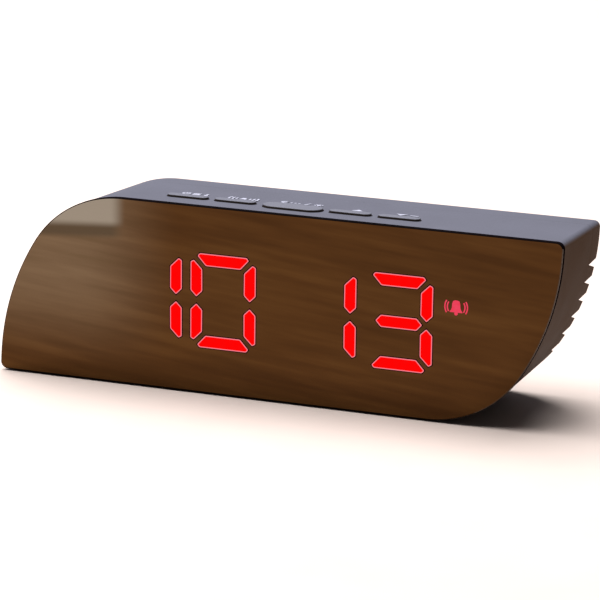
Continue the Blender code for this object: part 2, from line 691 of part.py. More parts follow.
def build_power(parent):
    """Cells, contacts, the power inlet and its board."""
    nub = 1.0
    body_end = CELL_LONG - nub
    for row in range(3):
        turn = 1 if row % 2 else -1
        profile = [(2.6, 0.0), (CELL_R - 0.4, 0.12), (CELL_R, 0.5), (CELL_R, body_end - 0.5),
                   (CELL_R - 0.5, body_end), (1.9, body_end + 0.02), (1.8, CELL_LONG)]
        start = -turn * CELL_LONG / 2 + turn * 0.9
        place = (start, CELL_Y, cell_z(row))
        along = [(radius, turn * level) for radius, level in profile]
        add_object(f"battery_{row + 1}", turned("cell", along, "X", 24), "battery_wrap",
                   place, parent)
    build_contact("battery_contact_positive", -1, None, 0, parent, tab_row=0)
    build_contact("battery_bridge_left", -1, 1, 2, parent)
    build_contact("battery_bridge_right", 1, 0, 1, parent)
    build_contact("battery_contact_negative", 1, 2, None, parent, tab_row=2)
    half_x = INLET_SIZE[0] / 2
    half_z = INLET_SIZE[1] / 2
    outer = inlet_outline(half_x, half_z)
    inner = inlet_outline(half_x - INLET_WALL, half_z - INLET_WALL)
    place = (INLET_X, 0, INLET_Z)
    jack = add_object("power_inlet", slab("jack", outer, INLET_Y[0], INLET_Y[1], "Y"), "steel",
                      place, parent)
    combine(jack, slab("mouth", inner, INLET_Y[0] + 0.5, INLET_Y[1] + 1, "Y"))
    tongue = block("tongue", (-2.3, 2.3), (INLET_Y[0] + 0.8, INLET_Y[1] - 0.9), (-0.1, 0.6))
    add_object("inlet_tongue", tongue, "black_plastic", place, parent)
    top = INLET_Z - half_z - GAP
    board = block("board", (34, 46), (9.5, 16.6), (top - 1.0, top))
    add_object("power_board", board, "circuit_board", parent=parent)


def inlet_outline(half_x, half_z):
    """The inlet's mouth: flat top, lower corners cut off at a slant."""
    return ((-half_x, half_z), (-half_x, -half_z * 0.2), (-half_x + half_z * 0.7, -half_z),
            (half_x - half_z * 0.7, -half_z), (half_x, -half_z * 0.2), (half_x, half_z))


def smooth_path(knots, steps=5):
    """Points on a Catmull-Rom curve through hand-placed knots."""
    pad = [knots[0]] + list(knots) + [knots[-1]]
    path = []
    for one in range(1, len(pad) - 2):
        a, b, c, d = (Vector(pad[one + shift]) for shift in (-1, 0, 1, 2))
        for step in range(steps):
            t = step / steps
            path.append(0.5 * (2 * b + (c - a) * t + (2 * a - 5 * b + 4 * c - d) * t * t
                               + (3 * b - a - 3 * c + d) * t ** 3))
    path.append(Vector(knots[-1]))
    return path


def build_wires(parent):
    end = CHIP_Y
    level = INLET_Z - INLET_SIZE[1] / 2 - GAP - 0.5
    low = cell_z(0)
    high = cell_z(2)
    routes = {
        "battery_lead_red": ("red_wire", ((-31, 7.7, low), (-33, 5, low + 1), (-31, -2, low + 2),
                                          (-26, -6, low + 2), (-24, end + 0.6, low + 2))),
        "battery_lead_black": ("black_wire", ((31, 7.7, high), (33, 5, high - 0.5),
                                              (30, -1, high - 1), (25, -6, high - 1),
                                              (23, end + 0.6, high - 1))),
        "power_lead_red": ("red_wire", ((37, 8.4, level), (37.5, 5, 22), (44, -2, 18.5),
                                        (46, -7, 17), (46, end + 0.6, 17))),
        "power_lead_black": ("black_wire", ((43, 8.4, level), (45, 5, 21), (50, -2, 16.5),
                                            (51, -7, 15), (51, end + 0.6, 15))),
    }
    for name, (finish, knots) in routes.items():
        line = tube_curve(name, smooth_path(knots), 0.6)
        add_object(name, line, finish, parent=parent)
    key_rear = FRONT + KEY_BOARD_DEPTH[1] + GAP
    middle = sum(KEY_BOARD_Z) / 2
    knots = ((0, key_rear, middle), (0, key_rear + 2.4, middle - 0.8), (0, key_rear + 2.6, 42.5),
             (0, key_rear - 1.0, 40.6), (0, end + 0.1, 40.4))
    path = smooth_path(knots, 3)
    rings = []
    for number, point in enumerate(path):
        ahead = path[min(number + 1, len(path) - 1)] - path[max(number - 1, 0)]
        across = Vector((0, -ahead.z, ahead.y)).normalized() * 0.35
        rings.append([(x, *(point + side * across).yz) for x, side in
                      ((-12, 1), (-4, 1), (-4, -1), (-12, -1))])
    add_object("button_ribbon", skin("button_ribbon", rings), "grey_wire", parent=parent)


def main():
    clear_scene()
    clock = bpy.data.objects.new("clock", None)
    bpy.context.collection.objects.link(clock)
    build_front(clock)
    build_case(clock)
    build_display(clock)
    build_keys(clock)
    build_cover(clock)
    build_door(clock)
    build_power(clock)
    build_wires(clock)


main()
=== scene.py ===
"""The looks of a digital alarm clock with a leaf-shaped bronze mirror front.

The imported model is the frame: its boxes give every place. Sizes below are in metres
(MM turns millimetres into metres). X is right, Y goes from the front to the rear, Z is up.
"""
from math import acos, cos, pi, radians, sin

import bpy
from mathutils import Matrix, Vector


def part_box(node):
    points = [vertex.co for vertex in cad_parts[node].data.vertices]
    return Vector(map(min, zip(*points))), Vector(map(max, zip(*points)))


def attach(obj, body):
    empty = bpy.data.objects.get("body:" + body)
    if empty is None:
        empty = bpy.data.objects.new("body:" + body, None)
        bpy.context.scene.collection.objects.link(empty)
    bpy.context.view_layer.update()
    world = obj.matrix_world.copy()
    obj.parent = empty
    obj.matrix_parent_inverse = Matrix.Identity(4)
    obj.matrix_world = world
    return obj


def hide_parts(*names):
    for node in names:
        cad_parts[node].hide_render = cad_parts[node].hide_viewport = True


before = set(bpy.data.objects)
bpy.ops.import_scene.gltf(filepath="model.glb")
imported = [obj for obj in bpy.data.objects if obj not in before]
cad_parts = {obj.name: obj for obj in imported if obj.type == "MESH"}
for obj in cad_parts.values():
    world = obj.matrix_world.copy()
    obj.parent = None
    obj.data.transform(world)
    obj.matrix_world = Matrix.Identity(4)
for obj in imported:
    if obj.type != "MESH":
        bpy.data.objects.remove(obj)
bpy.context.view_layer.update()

MM = 0.001
TINY = 1e-6          # two places closer than this are the same

# Outline of the clock, as on the CAD parts; the rear is narrower and lower than the front
PANEL_LOW, PANEL_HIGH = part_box("front_panel")
CASE_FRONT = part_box("main_housing")[0].y
DOOR_LOW, DOOR_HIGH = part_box("battery_door")
FRONT = PANEL_LOW.y
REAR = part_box("rear_cover")[1].y
FOOT_LIFT = PANEL_LOW.z
TOP = PANEL_HIGH.z
HALF_WIDTH = PANEL_HIGH.x
DEPTH = REAR - FRONT
COVER_FRONT = REAR - 8.0 * MM
ARC_SIDE_R = 72.0 * MM
ARC_TOP_R = 31.4 * MM
ARC_SPLIT = radians(58)
SMALL_CORNER = 2.0 * MM
SMALLEST_CORNER = 0.3 * MM
CORNER_STEPS = 6
REAR_LEFT = 79.6 / 82.5
REAR_RIGHT = 82.1 / 82.5
REAR_TOP_DROP = 2.2 * MM
SHELL_INSET = 0.2 * MM
WALL = 2.0 * MM
FRONT_WALL = 1.9 * MM
CASE_ROUND = 0.25 * MM
WINDOW_GAP = 0.3 * MM
SEAT_GAP = 0.25 * MM
FOOT_ROUND = 0.35 * MM
ARC_STEPS = 26

# Keys on the top, from left to right
KEYS = ("mode_button", "alarm_button", "snooze_button", "up_button", "down_button")
KEY_FLANGE = 0.9 * MM
KEY_RISE = 0.5 * MM
KEY_ROUND = 0.28 * MM
KEY_GAP = 0.5 * MM    # both sides together
SLOT_FLOOR = 48 * MM
SLOT_TALL = 10 * MM
FLANGE_THICK = 0.7 * MM
MARK_LINE = 0.55 * MM
MARK_BEHIND = 3.3 * MM
MARK_RIGHT = 0.5 * MM

# Lit display
DIGIT_X = (-36.41 * MM, -14.44 * MM, 14.93 * MM, 36.90 * MM)
DIGIT_Z = 27.0 * MM
TIME_SHOWN = ("bc", "abcdef", "bc", "abcdg")
ALARM_X = 53.15 * MM
ALARM_Z = 33.15 * MM
ALARM_TALL = 4.0 * MM
CLAPPER_R = 0.5 * MM
WAVE_LINE = 0.36 * MM
RIM = 0.26 * MM
SHADE_HALO = 0.25 * MM
SEGMENT_ROUND = 0.3 * MM
LIT_DEPTH = 0.09 * MM
PLATE_BACK = FRONT + LIT_DEPTH + 0.02 * MM
PLATE_FACE = FRONT + 0.004 * MM
SHADE_HALO_FACE = FRONT + 0.05 * MM
PANEL_INSET = 0.02 * MM
ARRIS = 0.28 * MM
ARRIS_HIGHLIGHT_TOP = TOP - 1.6 * MM

# Rear cover
FLAT_HALF = 52.0 * MM
SPIGOT = 2.3 * MM
SEAM_FRONT = COVER_FRONT - 0.17 * MM
SEAM_REAR = COVER_FRONT - 0.13 * MM
SEAM_ROUND = 0.08 * MM
REAR_ROUND = 0.7 * MM
WELL_R = 2.7 * MM
SCREW_HOLE_R = 1.3 * MM
MOUTH_ROUND = 0.18 * MM
INLET_SPOT = (40 * MM, 27 * MM)
INLET_GAP = 0.6 * MM
BAY_HALF = 27.0 * MM
BAY_FLOOR = 6.0 * MM
BAY_Z = (10.3 * MM, 43.3 * MM)
BAY_SKIN = Vector((2.0, 1.5, 1.5)) * MM
POCKET_X = (31.0 * MM, 50.0 * MM)
POCKET_Z = (11.0 * MM, 43.0 * MM)
DOOR_THICK = 1.8 * MM
DOOR_BOTTOM = DOOR_LOW.z
DOOR_TOP = 45.8 * MM
TONGUE_X = 17.0 * MM
TONGUE_HALF = 3.0 * MM
TONGUE_THICK = 0.8 * MM
TONGUE_Z = (44.3 * MM, 47.8 * MM)
LATCH_HALF = 4.4 * MM
LATCH_Z = (7.3 * MM, 10.0 * MM)
HOOK_HALF = 4 * MM
SCOOP_R = 4.0 * MM
SCOOP_HALF = 7 * MM
SCOOP_Z = 6.6 * MM
GRIP_RIBS = 4
GRIP_LONG = 16.0 * MM
GRIP_WIDE = 0.7 * MM
GRIP_DEEP = 0.35 * MM
DOOR_CORNER = 0.8 * MM
DOOR_ROUND = 0.25 * MM
CELL_CAP = 1.0 * MM
CELL_CAP_R = 1.85 * MM
CELL_BAND = 32.0 * MM
CELL_ROUND = 0.5 * MM
LOUVRES = 6
LOUVRE_TOP = 37.95 * MM
LOUVRE_PITCH = 5.07 * MM
LOUVRE_MOUTH = 2.8 * MM
LOUVRE_ROOT = 2.45 * MM
LOUVRE_WEB = 0.4 * MM
LOUVRE_REACH = 36 * MM
SCREW_SPOTS = [(x, z) for x in (-46.5 * MM, 46.5 * MM) for z in (6.4 * MM, 46.4 * MM)]
SCREW_HEAD = 1.35 * MM
SCREW_DOME = 0.6 * MM
CROSS_LONG = 1.15 * MM
CROSS_WIDE = 0.25 * MM
CROSS_DEEP = 0.8 * MM

# Camera: turned right of the middle, looking a little down
CAMERA_YAW = radians(20.64)
CAMERA_PITCH = radians(15.23)
CAMERA_ROLL = radians(0.71)
CAMERA_AIM = Vector((8.3 * MM, FRONT, 30.3 * MM))
CAMERA_AWAY = 0.9393
CAMERA_LENS = 206.14


# ---------------------------------------- tools

def clear_selection():
    """Leave edit mode with nothing selected."""
    if bpy.context.mode != "OBJECT":
        bpy.ops.object.mode_set(mode="OBJECT")
    bpy.ops.object.select_all(action="DESELECT")


def take(item):
    """Select one piece alone and make it the active one."""
    clear_selection()
    item.select_set(True)
    bpy.context.view_layer.objects.active = item


def named(name):
    """Name the piece that was just added, and lay its place into its mesh."""
    item = bpy.context.object
    item.name = name
    item.data.name = name
    bpy.ops.object.transform_apply(location=True, rotation=True, scale=True)
    return item


def choose(item, kind, test):
    """Open a piece for editing with only the vertices, edges or faces that pass a test."""
    take(item)
    bpy.ops.object.mode_set(mode="EDIT")
    bpy.ops.mesh.select_mode(type=kind)
    bpy.ops.mesh.select_all(action="DESELECT")
    bpy.ops.object.mode_set(mode="OBJECT")
    mesh = item.data
    if kind == "FACE":
        for face in mesh.polygons:
            face.select = test(face.center, face.normal)
    elif kind == "EDGE":
        for edge in mesh.edges:
            one, two = (mesh.vertices[index].co for index in edge.vertices)
            edge.select = test(one, two)
    else:
        for vertex in mesh.vertices:
            vertex.select = test(vertex.co)
    bpy.ops.object.mode_set(mode="EDIT")


def close_edit(item):
    """Merge doubles, turn the faces outwards and leave edit mode."""
    if bpy.context.mode == "OBJECT":
        take(item)
        bpy.ops.object.mode_set(mode="EDIT")
    bpy.ops.mesh.select_all(action="SELECT")
    bpy.ops.mesh.remove_doubles(threshold=0.000002)
    bpy.ops.mesh.normals_make_consistent(inside=False)
    bpy.ops.object.mode_set(mode="OBJECT")
    return item


def smooth(item, angle=32):
    """Smooth shading up to an angle, with large faces kept flat next to small roundings."""
    take(item)
    bpy.ops.object.shade_smooth_by_angle(angle=radians(angle))
    modifier = item.modifiers.new("even", "WEIGHTED_NORMAL")
    modifier.keep_sharp = True
    bpy.ops.object.modifier_apply(modifier=modifier.name)
    return item


def round_edges(item, test, width, segments=3):
    """Bevel the edges whose two ends pass a test."""
    choose(item, "EDGE", test)
    bpy.ops.mesh.bevel(offset=width, segments=segments, profile=0.5, affect="EDGES")
    bpy.ops.object.mode_set(mode="OBJECT")
    return item


def combine(item, tool, operation="DIFFERENCE"):
    """Cut a tool out of a piece or add it, and drop the tool."""
    take(item)
    modifier = item.modifiers.new("combine", "BOOLEAN")
    modifier.object = tool
    modifier.operation = operation
    modifier.solver = "EXACT"
    bpy.ops.object.modifier_apply(modifier=modifier.name)
    bpy.data.objects.remove(tool, do_unlink=True)
    return item


def merged(name, items):
    """Several pieces as one."""
    clear_selection()
    for item in items:
        item.select_set(True)
    bpy.context.view_layer.objects.active = items[0]
    if len(items) > 1:
        bpy.ops.object.join()
    items[0].name = name
    return items[0]


def twin(item, name, step):
    """A copy of a finished piece with its own mesh, moved by step."""
    other = item.copy()
    other.data = item.data.copy()
    other.name = name
    other.data.name = name
    bpy.context.scene.collection.objects.link(other)
    other.data.transform(Matrix.Translation(step))
    return other


def flat_shape(name, outline, place, run):
    """A filled circle whose corners are moved to an outline, then extruded along run."""
    clear_selection()
    bpy.ops.mesh.primitive_circle_add(vertices=len(outline), fill_type="NGON")
    item = named(name)
    for vertex, (a, b) in zip(item.data.vertices, outline):
        vertex.co = place(a, b)
    take(item)
    bpy.ops.object.mode_set(mode="EDIT")
    bpy.ops.mesh.select_all(action="SELECT")
    bpy.ops.mesh.extrude_region_move(TRANSFORM_OT_translate={"value": run})
    return close_edit(item)


def box_piece(name, low, high):
    """A box between two corners."""
    clear_selection()
    low = Vector(low)
    high = Vector(high)
    bpy.ops.mesh.primitive_cube_add(size=1, location=(low + high) / 2, scale=high - low)
    return named(name)


def rod_piece(name, radius, low, high, sides=48):
    """A cylinder between two points that lie on one line along an axis."""
    clear_selection()
    low = Vector(low)
    high = Vector(high)
    span = high - low
    turn = span.to_track_quat("Z", "Y").to_euler()
    bpy.ops.mesh.primitive_cylinder_add(vertices=sides, radius=radius, depth=span.length,
                                        location=(low + high) / 2, rotation=turn)
    return named(name)


def pill(length, width, steps=14):
    """The outline of a bar with round ends, about its middle."""
    radius = width / 2
    points = []
    for side in (1, -1):
        for step in range(steps + 1):
            a = -pi / 2 + pi * step / steps
            points.append((side * (length / 2 - radius + radius * cos(a)),
                           side * radius * sin(a)))
    return points


# ---------------------------------------- outline

def draw_in(item):
    """Draw the outline in towards the rear: more on the left than on the right, and down."""
    for vertex in item.data.vertices:
        back = (vertex.co.y - FRONT) / DEPTH
        side = REAR_LEFT if vertex.co.x < 0 else REAR_RIGHT
        vertex.co.x *= 1 - back * (1 - side)
        vertex.co.z -= (vertex.co.z - FOOT_LIFT) * back * REAR_TOP_DROP / (TOP - FOOT_LIFT)


def top_height(y):
    """How high the sloping top of the case lies at a depth."""
    return TOP - REAR_TOP_DROP * (y - FRONT) / DEPTH


def leaf_face(name, inset, y):
    """The outline as one flat face: two spun arcs, a straight run and a spun corner,
    then the same again turned half a turn about the middle."""
    half_width = HALF_WIDTH - inset
    half_height = (TOP - FOOT_LIFT) / 2 - inset
    middle = (TOP + FOOT_LIFT) / 2
    small = max(SMALL_CORNER - inset, SMALLEST_CORNER)
    side_r = ARC_SIDE_R - inset
    top_r = ARC_TOP_R - inset
    foot = half_height - side_r * cos(ARC_SPLIT) - top_r * (1 - cos(ARC_SPLIT))
    start = acos((small - half_height - foot) / side_r)
    clear_selection()
    bpy.ops.mesh.primitive_plane_add(size=MM)
    item = named(name)
    bpy.ops.object.mode_set(mode="EDIT")
    bpy.ops.mesh.select_mode(type="VERT")
    bpy.ops.mesh.select_all(action="SELECT")
    bpy.ops.mesh.merge(type="CENTER")
    first = Vector((-half_width + side_r * (1 - sin(start)), y,
                    middle + foot + side_r * cos(start)))
    bpy.ops.transform.translate(value=first)
    side_centre = Vector((-half_width + side_r, y, middle + foot))
    bpy.ops.mesh.spin(steps=ARC_STEPS, angle=start - ARC_SPLIT, center=side_centre,
                      axis=(0, -1, 0))
    arc_end = side_centre + side_r * Vector((-sin(ARC_SPLIT), 0, cos(ARC_SPLIT)))
    top_centre = arc_end + top_r * Vector((sin(ARC_SPLIT), 0, -cos(ARC_SPLIT)))
    bpy.ops.mesh.spin(steps=ARC_STEPS, angle=ARC_SPLIT, center=top_centre, axis=(0, -1, 0))
    run = half_width - small - top_centre.x
    bpy.ops.mesh.extrude_region_move(TRANSFORM_OT_translate={"value": (run, 0, 0)})
    corner = Vector((half_width - small, y, middle + half_height - small))
    bpy.ops.mesh.spin(steps=CORNER_STEPS, angle=pi / 2, center=corner, axis=(0, -1, 0))
    bpy.ops.mesh.select_all(action="SELECT")
    bpy.ops.mesh.duplicate()
    bpy.ops.transform.rotate(value=pi, orient_axis="Y", center_override=(0, y, middle))
    bpy.ops.mesh.select_all(action="SELECT")
    bpy.ops.mesh.remove_doubles(threshold=0.00005)
    bpy.ops.mesh.edge_face_add()
    return item


def leaf_solid(name, inset, depths):
    """The outline carried from one depth to the next, drawing in towards the rear."""
    item = leaf_face(name, inset, depths[0])
    for before, after in zip(depths, depths[1:]):
        bpy.ops.mesh.extrude_region_move(TRANSFORM_OT_translate={"value": (0, after - before, 0)})
    close_edit(item)
    draw_in(item)
    return item


# ---------------------------------------- materials

def linear(hex_colour):
    """An sRGB hex colour as the linear values that nodes take."""
    values = [int(hex_colour[place:place + 2], 16) / 255 for place in (1, 3, 5)]
    out = [v / 12.92 if v <= 0.04045 else ((v + 0.055) / 1.055) ** 2.4 for v in values]
    return (*out, 1.0)


def add(tree, kind, values=None, **settings):
    """Add a node with its settings; values gives its inputs, as numbers or sockets."""
    made = tree.nodes.new(kind)
    for name, value in settings.items():
        setattr(made, name, value)
    for name, value in (values or {}).items():
        if isinstance(value, bpy.types.NodeSocket):
            tree.links.new(value, made.inputs[name])
        else:
            made.inputs[name].default_value = value
    return made


def begin(name, **sockets):
    """A material with one Principled shader; sockets names its constant values."""
    finish = bpy.data.materials.new(name)
    finish.use_nodes = True
    shader = finish.node_tree.nodes["Principled BSDF"]
    for socket, value in sockets.items():
        shader.inputs[socket.replace("_", " ")].default_value = value
    return finish, finish.node_tree, shader


def position(tree):
    """Where a point of the piece lies, in metres."""
    return add(tree, "ShaderNodeTexCoord").outputs["Object"]


def worked(tree, operation, *values):
    """The result of a sum on numbers or sockets."""
    return add(tree, "ShaderNodeMath", dict(enumerate(values)), operation=operation).outputs[0]


def mixed(tree, share, one, two):
    """A colour that goes from one to two as share goes from 0 to 1."""
    return add(tree, "ShaderNodeMix", {0: share, 6: one, 7: two}, data_type="RGBA").outputs[2]


def ramp(tree, fac, stops):
    """A colour ramp between (place, hex) stops."""
    made = add(tree, "ShaderNodeValToRGB", {"Fac": fac})
    points = made.color_ramp.elements
    points[0].position, points[0].color = stops[0][0], linear(stops[0][1])
    points[1].position, points[1].color = stops[-1][0], linear(stops[-1][1])
    for place, colour in stops[1:-1]:
        points.new(place).color = linear(colour)
    return made.outputs["Color"]


def grain(tree, place, size, detail=2.0, stretch=(1, 1, 1), shift=(0, 0, 0)):
    """Noise whose features are about size metres across."""
    mapped = add(tree, "ShaderNodeMapping", {"Vector": place, "Scale": stretch,
                                             "Location": shift})
    return add(tree, "ShaderNodeTexNoise", {"Vector": mapped.outputs[0], "Scale": 1 / size,
                                            "Detail": detail}).outputs["Fac"]


def edge_mask(tree, value, start, end):
    """0 before start and 1 after end, with a soft step between."""
    made = add(tree, "ShaderNodeMapRange", {"Value": value, "From Min": start, "From Max": end},
               interpolation_type="SMOOTHSTEP")
    return made.outputs[0]


def moulded(name, dark, light, rough=(0.42, 0.52), texture=0.45 * MM, depth=0.02 * MM,
            top_sheen=None, **sockets):
    """Injection-moulded plastic: a fine spark-eroded grain that scatters the light,
    faint clouds in its colour, and a gloss that wanders a little. Where a top_sheen colour is
    given, the faces that look up take it as a painted sheen of light. The grain is a few times
    coarser than the real one, which would be too fine to see at this distance."""
    finish, tree, shader = begin(name, **sockets)
    place = position(tree)
    fine = grain(tree, place, texture)
    clouds = grain(tree, place, 14 * MM, 3.0)
    mottle = worked(tree, "MULTIPLY", worked(tree, "ADD", fine, clouds), 0.5)
    colour = ramp(tree, mottle, ((0.3, dark), (0.7, light)))
    # painted sheen: the faces that look up turn towards the lighter top_sheen colour
    if top_sheen:
        facing = add(tree, "ShaderNodeTexCoord").outputs["Normal"]
        axes = add(tree, "ShaderNodeSeparateXYZ", {"Vector": facing})
        film = ramp(tree, mottle, ((0.3, top_sheen[0]), (0.7, top_sheen[1])))
        sheen_share = edge_mask(tree, axes.outputs["Z"], 0.1, 0.85)
        colour = mixed(tree, sheen_share, colour, film)
    tree.links.new(colour, shader.inputs["Base Color"])
    gloss = add(tree, "ShaderNodeMapRange", {"Value": clouds, "From Min": 0.3, "From Max": 0.7,
                                             "To Min": rough[0], "To Max": rough[1]})
    tree.links.new(gloss.outputs[0], shader.inputs["Roughness"])
    bump = add(tree, "ShaderNodeBump", {"Height": fine, "Strength": 0.35, "Distance": depth})
    tree.links.new(bump.outputs[0], shader.inputs["Normal"])
    return finish


def metal(name, dark, light, rough=(0.22, 0.38), stretch=(1, 1, 1), size=0.6 * MM):
    """Plated metal: fine drawn lines or a soft mottle, without a painted look."""
    finish, tree, shader = begin(name, Metallic=1.0)
    place = position(tree)
    lines = grain(tree, place, size, 3.0, stretch)
    tree.links.new(ramp(tree, lines, ((0.3, dark), (0.7, light))), shader.inputs["Base Color"])
    gloss = add(tree, "ShaderNodeMapRange", {"Value": lines, "To Min": rough[0],
                                             "To Max": rough[1]})
    tree.links.new(gloss.outputs[0], shader.inputs["Roughness"])
    return finish


def bronze_mirror():
    """Bronze half-mirror acrylic, vacuum coated and polished: a dark brown tinted mirror
    with a painted reflection of a room, soft level streaks and a pale window corner, in its colour."""
    finish, tree, shader = begin("bronze_mirror_acrylic", Metallic=1.0, Roughness=0.09)
    place = position(tree)
    axes = add(tree, "ShaderNodeSeparateXYZ", {"Vector": place})
    x = axes.outputs["X"]
    z = axes.outputs["Z"]
    turned = add(tree, "ShaderNodeMapping", {"Vector": place, "Rotation": (0, -radians(6), 0)})
    slope = turned.outputs[0]
    # painted reflection of a wooden room: level dark streaks in the base colour, paler towards the
    # upper left
    streaks = grain(tree, slope, 6 * MM, 4.0, (0.16, 0.2, 1.0))
    fine = grain(tree, slope, 2.2 * MM, 3.0, (0.07, 0.2, 1.0), (3, 0, 1))
    both = worked(tree, "MULTIPLY", worked(tree, "ADD", streaks, fine), 0.5)
    reflected_wood = ramp(tree, both, ((0.36, "#402a16"), (0.5, "#483019"), (0.64, "#50371d")))
    paler_reflected_wood = ramp(tree, both, ((0.36, "#5f4f3a"), (0.5, "#665541"), (0.64, "#6d5c47")))
    left = edge_mask(tree, x, -26 * MM, -60 * MM)
    upper = edge_mask(tree, z, 2 * MM, 34 * MM)
    shown = mixed(tree, worked(tree, "MULTIPLY", left, upper), reflected_wood, paler_reflected_wood)
    # painted reflection of a bright window corner at the upper left, with its darker sill
    inside = edge_mask(tree, x, -43.6 * MM, -48.6 * MM)
    level = worked(tree, "MULTIPLY_ADD", x, -0.065, z)
    for start, end, colour in ((44.4, 46.6, "#504536"), (47.8, 50.4, "#888479")):
        part = worked(tree, "MULTIPLY", edge_mask(tree, level, start * MM, end * MM), inside)
        shown = mixed(tree, part, shown, linear(colour))
    # painted shade: a darker sweep low on the right
    low = edge_mask(tree, worked(tree, "MULTIPLY_ADD", x, -1.1, z), -54 * MM, -68 * MM)
    shown = mixed(tree, worked(tree, "MULTIPLY", low, 0.45), shown, linear("#2c1b0c"))
    tree.links.new(shown, shader.inputs["Base Color"])
    wave = grain(tree, place, 30 * MM, 1.0)
    bump = add(tree, "ShaderNodeBump", {"Height": wave, "Strength": 0.05, "Distance": 0.2 * MM})
    tree.links.new(bump.outputs[0], shader.inputs["Normal"])
    return finish


def glowing(name, core, edge, strength, size):
    """Light showing through the panel: even, with a faint mottle from the diffuser."""
    finish, tree, shader = begin(name, Roughness=0.6, Emission_Strength=strength,
                                 Specular_IOR_Level=0.0)
    shader.inputs["Base Color"].default_value = linear("#200404")
    place = position(tree)
    mottle = grain(tree, place, size, 1.0)
    tree.links.new(ramp(tree, mottle, ((0.2, core), (0.8, edge))),
                   shader.inputs["Emission Color"])
    return finish


def screen_ink(name):
    """White pad-printed ink: a little thin and uneven, so the case shows through."""
    finish, tree, shader = begin(name, Roughness=0.5, Specular_IOR_Level=0.3)
    place = position(tree)
    patches = grain(tree, place, 0.5 * MM, 2.0)
    tree.links.new(ramp(tree, patches, ((0.3, "#6e6e77"), (0.6, "#92929c"))),
                   shader.inputs["Base Color"])
    return finish


def solder_mask(name):
    """Green solder mask over copper: lighter lines of track and a wet gloss. The lines are
    a few millimetres apart, coarser than real tracks."""
    finish, tree, shader = begin(name, Roughness=0.3, Coat_Weight=0.4)
    place = position(tree)
    tracks = add(tree, "ShaderNodeTexBrick", {"Vector": place, "Scale": 180.0,
                                              "Color1": linear("#0d5a2c"),
                                              "Color2": linear("#0f6432"),
                                              "Mortar": linear("#1d8046"),
                                              "Mortar Size": 0.03})
    tree.links.new(tracks.outputs["Color"], shader.inputs["Base Color"])
    return finish


def shrink_film(name, dark, light):
    """Shrink film on a battery: an even colour with fine lengthwise scuffs under a gloss."""
    finish, tree, shader = begin(name, Roughness=0.28, Coat_Weight=0.3)
    place = position(tree)
    scuffs = grain(tree, place, 1.2 * MM, 4.0, (0.15, 1, 1))
    tree.links.new(ramp(tree, scuffs, ((0.3, dark), (0.7, light))),
                   shader.inputs["Base Color"])
    return finish


# painted sheen of light on the faces that look up, for the case and keys
TOP_SHEEN = ("#47474d", "#4e4e55")

